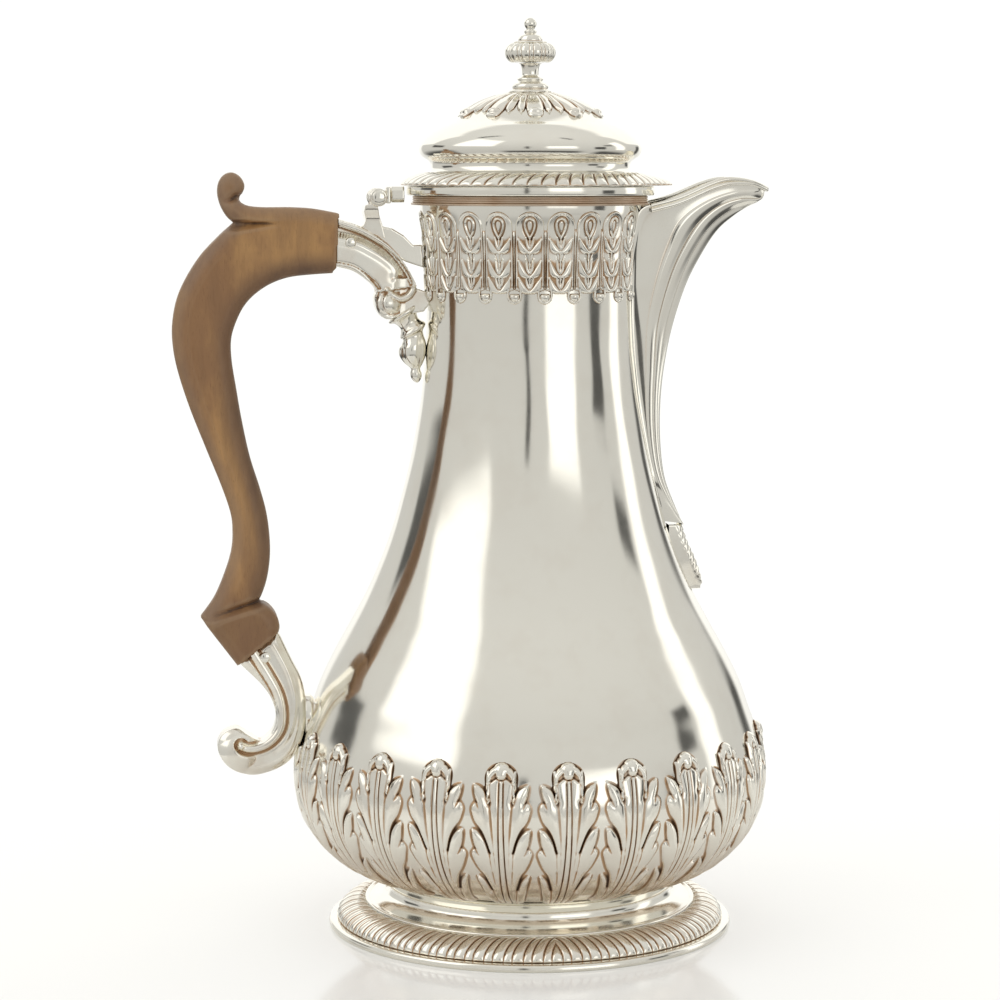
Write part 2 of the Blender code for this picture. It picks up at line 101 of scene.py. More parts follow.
def curve(points, count):
    """A smooth line through all the points, evenly spaced."""
    points = np.asarray(points, float)
    steps = 12                            # fine points between two given ones
    at = np.arange(steps * (len(points) - 1) + 1) / steps
    return resample(curve_by_index(points, at), count)


def ramp(value, low, high):
    """0 below low, 1 above high, and smooth between. It falls instead where low is over high."""
    t = np.clip((value - low) / (high - low), 0.0, 1.0)
    return t * t * (3.0 - 2.0 * t)


def bell(reach):
    """1 where reach is 0, falling smoothly to 0 on both sides."""
    return np.exp(-reach ** 2)


def arc(reach):
    """A round crest: 1 where reach is 0, and 0 from where it is 1."""
    return np.clip(1.0 - reach ** 2, 0.0, 1.0) ** 0.5


def largest(first, *others):
    for other in others:
        first = np.maximum(first, other)
    return first


def smallest(first, *others):
    for other in others:
        first = np.minimum(first, other)
    return first


def ripple(turn, height):
    """The slight unevenness of hand-raised silver."""
    calm = ramp(height, 60.0, 95.0)
    wave = (np.sin(3 * turn + 0.031 * height + 0.4) + 0.7 * np.sin(5 * turn - 0.062 * height)
            + 0.5 * np.sin(9 * turn + 0.11 * height + 2.0) + 0.35 * np.sin(0.23 * height + 4 * turn)
            + 0.22 * np.sin(17 * turn + 0.19 * height + 1.0))
    return 0.055 * calm * wave


# ------------------------------------------------------------------ meshes

def hollows(mesh, rounds):
    """How far each point lies under the surface smoothed around it, in millimetres."""
    count = len(mesh.vertices)
    place = np.empty(3 * count, np.float32)
    mesh.vertices.foreach_get("co", place)
    place = place.reshape(-1, 3).astype(float) / MM
    ends = np.empty(2 * len(mesh.edges), np.int32)
    mesh.edges.foreach_get("vertices", ends)
    a, b = ends.reshape(-1, 2).T
    links = np.maximum(np.bincount(np.r_[a, b], minlength=count), 1)[:, None]
    soft = place
    for _ in range(rounds):
        near = [np.bincount(a, soft[b, k], count) + np.bincount(b, soft[a, k], count)
                for k in range(3)]
        soft = 0.4 * soft + 0.6 * np.stack(near, axis=1) / links
    normals = np.empty(3 * count, np.float32)
    mesh.vertex_normals.foreach_get("vector", normals)
    return ((soft - place) * normals.reshape(-1, 3)).sum(axis=1)


def soften(relief, rows, columns, wraps):
    """The relief blurred over so many rows and columns. It goes round if it wraps."""
    for axis, sigma in ((0, rows), (1, columns)):
        reach = max(1, math.ceil(2.2 * sigma))
        weights = np.exp(-0.5 * (np.arange(-reach, reach + 1) / sigma) ** 2)
        pad = [(0, 0), (0, 0)]
        pad[axis] = (reach, reach)
        wide = np.pad(relief, pad, mode="wrap" if wraps and axis == 1 else "edge")
        count = relief.shape[axis]
        relief = sum(w * np.take(wide, range(k, k + count), axis)
                     for k, w in enumerate(weights / weights.sum()))
    return relief


def beside_edges(relief, line, turn, wraps):
    """How far each point of a relief lies under its close surroundings, in millimetres."""
    rows = BLUR / (along(line)[-1] / (len(line) - 1))
    columns = BLUR / (line[:, 0].mean() * abs(turn[1] - turn[0]))
    return soften(relief, rows, columns, wraps) - relief


def make_piece(name, points, faces, material, body, replaced, rounds=0, hollow=None):
    """One closed piece from points in millimetres and arrays of faces, outside facing out.

    hollow says how far each point lies under its surroundings: where the silver tarnishes and the
    wood gets painted shade. Without it, it comes from so many rounds of smoothing.
    """
    volume = 0.0
    for group in faces:
        corners = points[group]
        for k in range(1, group.shape[1] - 1):
            cross = np.cross(corners[:, k], corners[:, k + 1])
            volume += np.einsum("ij,ij->", corners[:, 0], cross)
    if volume < 0:
        faces = [group[:, ::-1] for group in faces]
    mesh = bpy.data.meshes.new(name)
    mesh.vertices.add(len(points))
    mesh.vertices.foreach_set("co", (points * MM + (AXIS.x, 0.0, 0.0)).astype(np.float32).ravel())
    corners = np.concatenate([group.ravel() for group in faces]).astype(np.int32)
    sizes = np.concatenate([np.full(len(group), group.shape[1]) for group in faces])
    mesh.loops.add(len(corners))
    mesh.loops.foreach_set("vertex_index", corners)
    mesh.polygons.add(len(sizes))
    mesh.polygons.foreach_set("loop_start", (np.cumsum(sizes) - sizes).astype(np.int32))
    mesh.update(calc_edges=True)
    mesh.validate()
    mesh.shade_smooth()
    if hollow is None and rounds:
        hollow = hollows(mesh, rounds)
    if hollow is not None:
        mesh.attributes.new("hollow", "FLOAT", "POINT").data.foreach_set(
            "value", hollow.astype(np.float32))
    mesh.materials.append(material)
    obj = bpy.data.objects.new(name, mesh)
    bpy.context.scene.collection.objects.link(obj)
    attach(obj, body)
    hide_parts(replaced)
    return obj


def grid_faces(rows, columns, round_rows, round_columns):
    index = np.arange(rows * columns).reshape(rows, columns)
    if round_rows:
        index = np.vstack([index, index[:1]])
    if round_columns:
        index = np.hstack([index, index[:, :1]])
    return np.stack([index[:-1, :-1], index[:-1, 1:], index[1:, 1:], index[1:, :-1]],
                    axis=-1).reshape(-1, 4)


def normals_of(line):
    """The direction to the left of a line that runs down its outer side: away from the axis."""
    step = np.gradient(line, axis=0)
    step = step / np.maximum(np.linalg.norm(step, axis=1, keepdims=True), 1e-9)
    return np.stack([-step[:, 1], step[:, 0]], axis=1)


def back_of(front, thick, every):
    """The plain back of a sheet so thick: every so many points of its front, the other way."""
    return (front - thick * normals_of(front))[::-every]


def turns(columns):
    """Angles all the way round, from the front."""
    return FRONT + 2 * math.pi * np.arange(columns) / columns


def swept(front, back, turn, relief, wraps, edged, stretch=None):
    """A closed section swept through some angles, its front lifted by a relief and its back
    plain: its points, and how far each lies under its surroundings if the piece is edged."""
    line = np.vstack([front, back])
    height = np.zeros((len(line), len(turn)))
    height[:len(front)] = relief
    side = np.zeros(line.shape)
    side[:len(front)] = normals_of(front)
    radius = line[:, :1] + side[:, :1] * height
    level = line[:, 1:] + side[:, 1:] * height
    if stretch is not None:
        radius = stretch(turn, radius)
    points = np.stack([radius * np.cos(turn), radius * np.sin(turn), level], axis=-1)
    if not edged:
        return points, None
    hollow = np.zeros(height.shape)
    hollow[:len(front)] = beside_edges(height[:len(front)], front, turn, wraps)
    return points, hollow.ravel()


def turned(name, front, back, columns, body, replaced, relief=0.0, stretch=None, rounds=0,
           material=None, edged=False):
    """A turned piece. Its section is a closed line, the front with its relief and a plain back.

    Without a back, the front starts and ends on the axis. An edged piece tarnishes beside the
    edges of its relief, and any other piece in the hollows of its surface.
    """
    front = np.asarray(front, float)
    points, hollow = swept(front, front[:0] if back is None else back, turns(columns), relief,
                           True, edged, stretch)
    if back is not None:
        faces = [grid_faces(len(points), columns, True, True)]
        points = points.reshape(-1, 3)
    else:
        rows = len(points) - 2
        points = np.vstack([points[0, :1], points[1:-1].reshape(-1, 3), points[-1, :1]])
        ring = 1 + np.arange(columns)
        after = np.roll(ring, -1)
        low = (rows - 1) * columns
        faces = [grid_faces(rows, columns, False, True) + 1,
                 np.stack([np.zeros_like(ring), after, ring], axis=1),
                 np.stack([np.full_like(ring, rows * columns + 1), ring + low, after + low],
                          axis=1)]
    return make_piece(name, points, faces, material or silver, body, replaced, rounds,
                      hollow)


# ------------------------------------------------------------------ relief drawn on a flat cell

def stroke(u, v, points, widths, height, power=0.5):
    """A rounded bar along a line of points, with its own half width at each of them."""
    best = np.zeros(np.broadcast(u, v).shape)
    for (ua, va), (ub, vb), wa, wb in zip(points, points[1:], widths, widths[1:]):
        du, dv = ub - ua, vb - va
        t = np.clip(((u - ua) * du + (v - va) * dv) / (du * du + dv * dv), 0.0, 1.0)
        reach = np.hypot(u - ua - t * du, v - va - t * dv) / (wa + (wb - wa) * t)
        best = np.maximum(best, np.clip(1.0 - reach * reach, 0.0, 1.0) ** power)
    return height * best


def smooth_line(points, widths):
    """Points and half widths along a smooth line through the given points."""
    line = curve([(*p, w) for p, w in zip(points, widths)], 5 * (len(points) - 1) + 1)
    return line[:, :2].tolist(), line[:, 2].tolist()


def outline_of(runs):
    """An outline whose runs are each smooth, and which turns sharply between them."""
    return np.vstack([curve(run, 4 * len(run)) if len(run) > 2 else np.array(run, float)
                      for run in runs])


# Half a leaf's outline, u across it from its middle and v up it from its base: its rolled tip,
# then each lobe's two sides.
LEAF_OUTLINE = outline_of([
    [(-6.0, 59.3), (0.0, 59.3)],
    [(0.0, 59.3), (2.0, 58.9), (3.8, 57.5), (4.6, 55.5), (4.5, 53.0), (4.2, 50.4), (3.6, 47.3)],
    [(3.8, 47.9), (5.0, 50.8), (6.6, 52.4), (8.7, 53.2)],
    [(8.7, 53.2), (8.8, 51.8), (8.5, 49.6), (7.7, 47.3)],
    [(8.0, 47.4), (8.9, 46.9), (9.5, 45.3), (9.1, 43.3), (8.2, 41.0), (6.2, 38.2), (4.7, 34.8),
     (3.6, 31.0)],
    [(3.9, 31.4), (5.3, 35.6), (7.4, 38.4), (9.4, 38.9)],
    [(9.4, 38.9), (9.3, 36.7), (8.9, 34.4), (8.2, 32.2)],
    [(8.5, 32.2), (9.2, 31.7), (9.7, 30.3), (9.0, 28.0), (7.6, 24.6), (5.6, 21.0), (3.7, 14.0)],
    [(4.1, 14.0), (5.7, 19.2), (8.4, 22.2)],
    [(8.4, 22.2), (8.3, 20.0), (7.5, 16.6), (6.4, 11.0), (5.4, 5.0), (4.8, -3.0)],
    [(4.8, -3.0), (-6.0, -3.0)],
])
# The rounded crests along a leaf's lobes, and the creases below its notches, each with its depth
# and half width.
LEAF_CRESTS = [
    [(8.2, 52.0), (6.7, 49.2), (5.6, 44.5), (4.6, 37.5), (3.2, 25.0)],
    [(8.8, 37.8), (7.2, 35.0), (5.6, 30.5), (4.4, 25.0), (3.1, 15.0)],
    [(7.9, 21.2), (6.6, 17.0), (5.2, 11.0), (4.2, 3.0)],
]
LEAF_CREASES = [
    (0.45, 0.42, [(8.0, 47.4), (7.5, 46.5), (7.0, 45.6)]),
    (0.40, 0.55, [(3.6, 47.3), (3.1, 42.0), (2.5, 33.0), (2.0, 22.0)]),
    (0.45, 0.36, [(3.7, 31.2), (3.4, 27.0), (2.8, 20.0), (2.1, 10.0)]),
    (0.45, 0.42, [(8.3, 32.2), (7.8, 31.3), (7.2, 30.5)]),
    (0.45, 0.40, [(3.8, 14.0), (3.2, 9.0), (2.6, 2.0)]),
]


def leaf_relief(u, v):
    """An acanthus leaf, u across it from its middle and v up it from its base.

    It gives the height over the body, at most about 2.2. The ground round the leaf dips under
    the body's surface.
    """
    across = np.abs(u)
    depth = depth_in(across, v, LEAF_OUTLINE)
    ground = 0.14 * bell(np.maximum(-depth, 0.0) / 1.2) - 0.1
    height = 0.75 * ramp(depth, -0.1, 0.55) + 0.3 * ramp(depth, 0.4, 2.0)
    inside = ramp(depth, 0.0, 0.6)
    for line in LEAF_CRESTS:
        reach = reach_to(across, v, curve(line, 16))[0]
        height = height + 0.3 * inside * bell(reach / 1.1)
    for deep, wide, line in LEAF_CREASES:
        reach, t = reach_to(across, v, curve(line, 16))
        height = height - deep * inside * (1.0 - 0.5 * t) * bell(reach / wide)
    stem_half = np.interp(v, [0.0, 35.0, 53.0], [0.8, 0.6, 0.42])
    below_tip = ramp(v, 54.5, 53.0)
    stem = arc(across / stem_half)
    height = height - 0.4 * below_tip * bell((across - stem_half - 0.25) / 0.24)
    height = height + below_tip * (0.35 * stem - 0.2 * bell(across / 2.0))
    height = np.maximum(height, stroke(across, v, [(4.3, 57.0), (4.3, 52.0), (3.9, 47.5)],
                                       [0.35, 0.45, 0.35], 1.35))
    shadow = reach_to(across, v, [(0.0, 54.4), (1.6, 55.0), (3.0, 54.0)])[0]
    height = height - 0.45 * inside * bell(shadow / 0.4)
    roll, wide = smooth_line([(0.0, 57.6), (2.0, 57.2), (3.6, 55.6), (4.0, 53.5)],
                             [1.4, 1.3, 0.9, 0.5])
    height = np.maximum(height, stroke(across, v, roll, wide, 1.7))
    ball = stroke(across, v, [(0.0, 57.3), (0.0, 56.2)], [2.7, 2.0], 2.2)
    return ground + np.maximum(height, ball)


def arch_relief(u, v):
    """One arch of the neck band, u across it from its middle and v up it from the drops' lowest
    point. It gives the height over the ground."""
    across = np.abs(u)
    pitch = 2 * math.pi * 35.0 / ARCHES
    crown, arch_half, base = 25.1, 4.6, 3.9
    reach = arch_half - np.where(v > crown, np.hypot(across, v - crown), across)
    reach = np.minimum(reach, v - base - 0.5 * np.abs(np.cos(across * 1.5)))
    height = 0.4 * ramp(reach, -0.1, 0.3)
    loop, wide = smooth_line([(0.0, 27.6), (1.0, 27.2), (1.6, 25.8), (1.2, 23.6), (0.0, 21.3)],
                             [0.38] * 5)
    beside = reach_to(across, v, loop)[0]
    height = height - 0.3 * bell((beside - 0.65) / 0.25) * ramp(reach, 0.0, 0.6)
    for level in (16.6, 8.8):
        wall = np.interp(v, [level - 3.8, level - 0.4], [0.2, 1.4]) - across
        funnel = ramp(wall, -0.1, 0.25) * ramp(v, level - 3.9, level - 3.2)
        height = height - 0.5 * funnel * ramp(level - v, -0.1, 0.3)
    frame_line = arc((reach - 0.42) / 0.38) * ramp(v, 5.0, 6.0)
    height = np.maximum(height, 0.6 * frame_line)
    height = np.maximum(height, stroke(across, v, loop, wide, 0.85))
    for level, side, tip in ((16.6, 3.7, 21.0), (8.8, 3.6, 14.0), (3.9, 3.6, 8.6)):
        long, wide = smooth_line([(0.35, level), (2.2, level + 1.3), (side, tip)],
                                 [0.5, 1.3, 0.25])
        height = np.maximum(height, stroke(across, v, long, wide, 1.0))
        short, wide = smooth_line([(0.3, level + 1.3), (0.8, level + 2.6), (1.2, tip + 0.5)],
                                  [0.4, 0.55, 0.25])
        height = np.maximum(height, stroke(across, v, short, wide, 0.9))
    stem = [(0.0, 4.0), (0.0, 20.6)]
    height = np.maximum(height, stroke(across, v, stem, [0.3, 0.3], 0.7))
    post = np.abs(across - pitch / 2)
    bar = arc(post / 0.4) * ramp(v, 4.6, 5.2)
    height = np.maximum(height, 0.85 * bar * ramp(v, 24.0, 22.0))
    cup = arc((np.hypot(post, np.minimum(v - 2.6, 0.0)) - 2.15) / 0.4)
    height = np.maximum(height, 0.8 * cup * (v < 5.4))
    ball = np.clip(1.0 - (post / 1.75) ** 2 - ((v - 2.4) / 1.75) ** 2, 0.0, 1.0) ** 0.5
    return np.maximum(height, 1.6 * ball * ramp(3.4 - v, 0.0, 0.35))


def lobe_ends(t):
    """1 along a lobe, with rounded ends at 0 and 1."""
    return np.clip(1.0 - np.abs(2.0 * t - 1.0) ** 6, 0.0, 1.0) ** 0.5


def gadroons(turn, t, count, slant):
    """Curved lobes in pairs, a broad one and a narrower one, mirrored about the side's middle.

    t runs from 0 at the lobes' inner ends to 1 at their outer ends. Height from 0 to 1.
    """
    off = np.abs((turn - FRONT + math.pi) % (2 * math.pi) - math.pi)
    phase = (off * count / (2 * math.pi) - slant * (1.0 - (1.0 - t) ** 2) + 0.28 + slant) % 1.0
    broad = arc((phase - 0.28) / 0.27)
    narrow = arc((phase - 0.78) / 0.20)
    return lobe_ends(t) * np.maximum(broad, 0.75 * narrow)


def spiral_gadroons(turn, t, count, lean):
    """Single curved lobes that all lean the same way round, with t and the height as above."""
    phase = (turn * count / (2 * math.pi) - lean * (1.0 - t) ** 1.6) % 1.0
    return lobe_ends(t) * arc((phase - 0.5) / 0.45)


# ------------------------------------------------------------------ materials

class Nodes:
    """A small hand for wiring a material's or a world's nodes."""

    def __init__(self, owner):
        owner.use_nodes = True
        self.tree = owner.node_tree
        self.tree.nodes.clear()

    def add(self, kind, *values, output=0, **settings):
        node = self.tree.nodes.new(kind)
        named = {}
        for key, value in settings.items():
            if hasattr(node, key):
                setattr(node, key, value)
            else:
                named[key.replace("_", " ")] = value
        for key, value in list(enumerate(values)) + list(named.items()):
            if value is None:
                continue
            if isinstance(value, bpy.types.NodeSocket):
                self.tree.links.new(value, node.inputs[key])
            else:
                node.inputs[key].default_value = value
        return node.outputs[output] if node.outputs else None

    def math(self, operation, *values):
        return self.add("ShaderNodeMath", *values, operation=operation)

    def times(self, *values):
        return self.math("MULTIPLY", *values)

    def range(self, value, low, high, to_low=0.0, to_high=1.0, kind="SMOOTHSTEP"):
        return self.add("ShaderNodeMapRange", value, low, high, to_low, to_high,
                        interpolation_type=kind)

    def mix(self, factor, first, second):
        node = self.tree.nodes.new("ShaderNodeMix")
        node.data_type = "RGBA"
        for key, value in ((0, factor), (6, first), (7, second)):
            if isinstance(value, bpy.types.NodeSocket):
                self.tree.links.new(value, node.inputs[key])
            else:
                node.inputs[key].default_value = value if key == 0 else (*value, 1.0)
        return node.outputs[2]

    def noise(self, scale, detail=2.0, vector=None, rough=0.5, distortion=0.0):
        return self.add("ShaderNodeTexNoise", Vector=vector, Scale=scale, Detail=detail,
                        Roughness=rough, Distortion=distortion)


SILVER = (0.93, 0.905, 0.825)
TARNISH = (0.50, 0.31, 0.17)
BLACKENED = (0.07, 0.038, 0.02)
WOOD_DARK, WOOD_LIGHT = (0.33, 0.175, 0.08), (0.52, 0.29, 0.115)


def make_silver(name, tarnish=1.0, gloss=0.09, shade_film=0.0):
    """Silver that browns in its hollows and in patches, and is browner low on the belly.

    tarnish scales the hollows' and patches' brown, gloss is the least roughness, and the last
    argument adds a brown cast all over, as painted shade.
    """
    material = bpy.data.materials.new(name)
    n = Nodes(material)
    place = n.add("ShaderNodeTexCoord", output=3)
    hollow = n.add("ShaderNodeAttribute", attribute_name="hollow", output=2)
    patch = n.noise(90.0, 3.0, place, 0.6)
    fine = n.noise(900.0, 2.0, place, 0.6)
    level = n.add("ShaderNodeSeparateXYZ", place, output=2)
    deep = n.range(hollow, 0.02, 0.16)
    uneven = n.range(patch, 0.3, 0.7, 0.6, 1.1)
    amount = n.times(n.times(deep, uneven), tarnish)
    # Brown patches of tarnish, plus the brown cast all over that paints shade.
    stain = n.math("MULTIPLY_ADD", n.range(patch, 0.42, 0.75), 0.14 * tarnish, shade_film)
    amount = n.math("MINIMUM", n.math("ADD", amount, stain), 0.95)
    # Browner low on the belly, rising from 46 mm down to 20 mm above the floor, and none below 18
    # mm.
    under = n.times(n.range(level, 0.046, 0.020), n.range(level, 0.0175, 0.019))
    amount = n.math("MAXIMUM", amount, n.times(under, 0.42))
    colour = n.mix(amount, SILVER, TARNISH)
    dark = n.times(n.range(hollow, 0.14, 0.40), min(1.0, tarnish + 0.2))
    colour = n.mix(dark, colour, BLACKENED)
    rough = n.math("ADD", n.range(n.noise(35.0, 4.0, place, 0.65), 0.3, 0.75, gloss, gloss + 0.07),
                   n.times(amount, 0.32))
    bump = n.add("ShaderNodeBump", Strength=0.12, Distance=0.00002, Height=fine)
    shader = n.add("ShaderNodeBsdfPrincipled", Base_Color=colour, Metallic=1.0, Roughness=rough,
                   Normal=bump)
    n.add("ShaderNodeOutputMaterial", shader)
    return material


def make_wood():
    """Oiled fruitwood whose grain runs down the handle, with painted shade along its inner edge."""
    material = bpy.data.materials.new("carved_wood")
    n = Nodes(material)
    place = n.add("ShaderNodeTexCoord", output=3)
    along_grain = n.add("ShaderNodeMapping", place, Scale=(1.0, 1.0, 0.16))
    grain = n.noise(900.0, 5.0, along_grain, 0.62, 0.6)
    pores = n.noise(2600.0, 2.0, along_grain, 0.5)
    streaks = n.noise(170.0, 3.0, along_grain, 0.55)
    patch = n.noise(55.0, 4.0, n.add("ShaderNodeMapping", place, Scale=(1.0, 1.0, 0.5)), 0.6)
    hollow = n.add("ShaderNodeAttribute", attribute_name="hollow", output=2)
    painted_shade = n.add("ShaderNodeAttribute", attribute_name="painted_shade", output=2)
    edge = n.add("ShaderNodeAttribute", attribute_name="edge", output=2)
    colour = n.mix(n.range(patch, 0.34, 0.60), WOOD_DARK, WOOD_LIGHT)
    for pattern, low, high, share, tint in ((streaks, 0.45, 0.7, 0.4, (0.24, 0.13, 0.065)),
                                            (grain, 0.45, 0.75, 0.22, (0.20, 0.10, 0.045)),
                                            (pores, 0.58, 0.75, 0.28, (0.12, 0.06, 0.03))):
        colour = n.mix(n.times(n.range(pattern, low, high), share), colour, tint)
    uneven = n.range(patch, 0.3, 0.7, 0.55, 0.95)
    # Painted shade along the inner edge and low on the knob, uneven in patches.
    colour = n.mix(n.times(painted_shade, uneven), colour, (0.13, 0.075, 0.05))
    # A painted grey sheen along the outer edge and the top, where they catch the light.
    colour = n.mix(n.times(edge, 0.5), colour, (0.26, 0.18, 0.13))
    # Painted shade, near black, in the carving's creases and recesses.
    colour = n.mix(n.range(hollow, 0.03, 0.30, 0.0, 0.9), colour, (0.04, 0.02, 0.013))
    worn = n.range(hollow, -0.02, -0.12, 0.0, 0.3)
    colour = n.mix(worn, colour, (0.42, 0.29, 0.18))
    bump = n.add("ShaderNodeBump", Strength=0.25, Distance=0.0002, Height=grain)
    shader = n.add("ShaderNodeBsdfPrincipled", Base_Color=colour,
                   Roughness=n.range(grain, 0.3, 0.7, 0.38, 0.52), Normal=bump)
    shader.node.inputs["Specular IOR Level"].default_value = 0.4
    n.add("ShaderNodeOutputMaterial", shader)
    return material


silver = make_silver("polished_silver")
plain_silver = make_silver("polished_silver_plain", tarnish=0.35, gloss=0.07)
brown_silver = make_silver("tarnished_silver", tarnish=1.5, gloss=0.12)
# Painted shade: a brown cast all over, for the reeds under the rim, which reflect dark.
painted_shade_silver = make_silver("silver_with_painted_shade", tarnish=1.5, gloss=0.14, shade_film=0.6)
wood = make_wood()


# ------------------------------------------------------------------ the vessel

def make_body():
    outer = curve(BODY_LINE, 330)
    bottom = curve([(55.4, 20.3), (52.0, 19.95), (46.0, 19.8), (20.0, 19.8), (0.0, 19.8)], 40)[1:]
    inner = back_of(outer, thick=1.3, every=6)
    inner = np.vstack([[(0.0, 21.1), (25.0, 21.1), (48.0, 21.1)], inner, [(35.3, 247.4)]])
    lip = resample([(35.3, 247.4), (36.6, 247.4)], 4)[1:-1]
    outline = np.vstack([inner, lip, outer, bottom])
    columns = 396
    relief = ripple(turns(columns)[None, :], outline[:, 1:]) * (outline[:, 1:] < 240.0)
    relief[:len(inner)] = 0.0
    return turned("body_shell_silver", outline, None, columns, "pot", "body_shell", relief,
                  material=plain_silver, rounds=3)


def sector(name, front, back, turn, relief, body, replaced):
    """A piece of a ring between two angles, closed at both ends by its section."""
    points, hollow = swept(front, back, turn, relief, False, True)
    rows, columns = points.shape[:2]
    index = np.arange(rows * columns).reshape(rows, columns)
    faces = [grid_faces(rows, columns, True, False), index[None, ::-1, 0], index[None, :, -1]]
    obj = make_piece(name, points.reshape(-1, 3), faces, silver, body, replaced,
                     hollow=hollow)
    obj.data.set_sharp_from_angle(angle=math.radians(75.0))
    return obj


def make_leaves():
    """The belly's leaves, each on its own sheet, which lies under the body's surface between
    them."""
    path = curve([p for p in BODY_LINE if p[1] < 95.0], 800)
    run = along(path[::-1])[::-1]
    front = path[(run < 63.5) & (run > 1.0)]
    front = resample(front, 205)
    height = along(path[::-1])[-1] - along(path)
    v = np.interp(front[:, 1], path[::-1, 1], height[::-1])[:, None]
    back = back_of(front, thick=0.9, every=9)
    pitch = 2 * math.pi / LEAVES
    off = np.linspace(-pitch / 2, pitch / 2, 71)
    u = off[None, :] * front[:, :1]
    relief = leaf_relief(u, v)
    first = FRONT + math.radians(1.1)
    for k in range(LEAVES):
        sector(f"belly_leaf_{k + 1:02d}", front, back, first + pitch * k + off, relief, "pot",
               "leaf_calyx")


def make_neck_band():
    path = curve([p for p in BODY_LINE if p[1] > 185.0], 600)
    front = resample(path[(path[:, 1] < 241.3) & (path[:, 1] > 210.5)], 120)
    back = back_of(front, thick=0.8, every=9)
    v = front[:, 1:] - 211.0
    pitch = 2 * math.pi / ARCHES
    off = np.linspace(-pitch / 2, pitch / 2, 61)
    arch = arch_relief(off[None, :] * front[:, :1], v)
    relief = np.where(arch > 0.0, arch, -0.12)
    for k in range(ARCHES):
        middle = FRONT + pitch * (k + 0.5)
        if math.cos(middle) < math.cos(pitch * 1.3):
            sector(f"neck_arch_{k + 1:02d}", front, back, middle + off, relief, "pot", "neck_band")


def make_rims():
    reeds = [(38.7 + 0.4 * math.sin(a), level + 0.3 * math.cos(a))
             for level in (245.15, 244.4, 243.65) for a in np.linspace(0.1, 3.04, 7)]
    # The reeds under the rim are darkened all over with painted shade.
    turned("neck_wires", resample([(37.0, 245.7), (38.6, 245.7)], 8),
           resample(reeds + [(39.45, 243.2), (39.65, 242.95), (39.5, 242.6), (37.0, 242.45),
                             (37.0, 245.6)], 110), 240, "pot", "neck_moulding",
           material=painted_shade_silver, rounds=5)
    turned("rim_band", resample([(36.9, 248.75), (40.9, 248.75), (41.15, 248.5), (41.3, 247.4),
                                 (41.25, 246.3), (41.0, 245.78)], 40),
           resample([(40.8, 245.74), (36.9, 245.74), (36.9, 248.6)], 40), 240, "pot", "rim_ring",
           material=plain_silver, rounds=4)


def make_foot():
    front = curve([(54.6, 20.2), (53.4, 19.5), (50.6, 18.4), (48.4, 16.4), (47.4, 14.0),
                   (47.8, 11.8), (49.6, 9.9), (52.4, 8.9), (54.4, 8.8)], 90)
    bead = curve([(54.4, 8.8), (55.0, 9.3), (55.7, 9.2), (56.0, 8.7)], 12)[1:]
    front = np.vstack([front, bead])
    back = back_of(front, thick=1.0, every=5)
    turned("foot_cove", front, back, 288, "pot", "foot_stem", material=plain_silver, rounds=4)

    front = curve([(55.6, 8.1), (57.6, 8.3), (60.0, 7.7), (62.4, 6.3), (64.2, 4.6), (65.3, 2.7)],
                  42)
    t = (along(front) / along(front)[-1])[:, None]
    columns = GADROONS * 18
    relief = 0.8 * gadroons(turns(columns)[None, :], t, GADROONS, 0.95) - 0.1
    turned("foot_gadroons", front, resample([(64.8, 2.5), (60.0, 3.5), (55.8, 6.6)], 10), columns,
           "pot", "foot_border", relief, material=brown_silver,
           edged=True)

    rim = curve([(66.2, 2.5), (67.3, 2.45), (67.9, 2.0), (68.15, 1.2), (68.1, 0.5), (67.7, 0.0)],
                30)
    turned("foot_rim_edge", rim, resample([(66.5, 0.0), (62.4, 0.0), (62.4, 1.2), (64.0, 2.4),
                                           (66.0, 2.5)], 24), 288, "pot", "foot_rim",
           material=plain_silver, rounds=4)


# ------------------------------------------------------------------ the lid

LID_LINE = [
    (7.4, 278.5), (12.0, 277.3), (17.0, 275.4), (21.0, 273.2), (24.0, 271.3), (27.0, 269.7),
    (30.0, 268.3), (33.0, 266.5), (35.2, 264.6), (36.6, 262.5), (36.9, 260.6), (36.2, 258.8),
    (34.8, 257.7), (33.7, 257.0), (33.2, 256.0), (33.3, 254.8), (33.8, 253.7), (34.6, 252.9),
]


def make_lid():
    front = np.vstack([resample([(2.1, 278.7), (7.0, 278.6)], 6)[:-1], curve(LID_LINE, 150)])
    back = back_of(front, thick=1.0, every=4)
    turn = turns(300)[None, :]
    relief = 0.2 * ripple(turn, 200.0 + front[:, 1:] * 1.7)
    turned("lid_dome", front, back, 300, "lid", "lid_shell", relief, material=plain_silver,
           rounds=4)

    bezel = resample([(33.6, 250.2), (34.6, 250.2), (34.6, 242.4), (34.2, 241.7)], 24)
    turned("lid_bezel_ring", bezel, resample([(33.7, 241.6), (33.5, 242.4), (33.5, 250.0)], 16),
           200, "lid", "lid_bezel", material=plain_silver)

    front = curve([(34.0, 252.9), (35.7, 252.7), (38.0, 252.0), (40.4, 250.9), (42.1, 249.8),
                   (42.9, 249.15)], 40)
    t = (along(front) / along(front)[-1])[:, None]
    columns = LID_GADROONS * 20
    relief = 0.7 * spiral_gadroons(turns(columns)[None, :],
                                   np.clip((t - 0.10) / 0.88, 0.0, 1.0), LID_GADROONS, 0.9)
    back = resample([(42.8, 249.0), (41.8, 248.9), (39.6, 249.0), (37.4, 250.2), (34.8, 251.1),
                     (32.4, 251.4), (32.4, 252.8)], 20)

    def peak(turn, radius):
        """The radius with the short point over the spout."""
        away = np.degrees(np.abs((turn + math.pi) % (2 * math.pi) - math.pi))
        reach = np.clip((radius - 37.5) / 5.5, 0.0, 1.2)
        return radius + 5.2 * np.clip(1.0 - away / 24.6, 0.0, 1.0) ** 1.1 * reach

    turned("lid_flange_gadroons", front, back, columns, "lid", "lid_flange", relief, peak,
           edged=True)


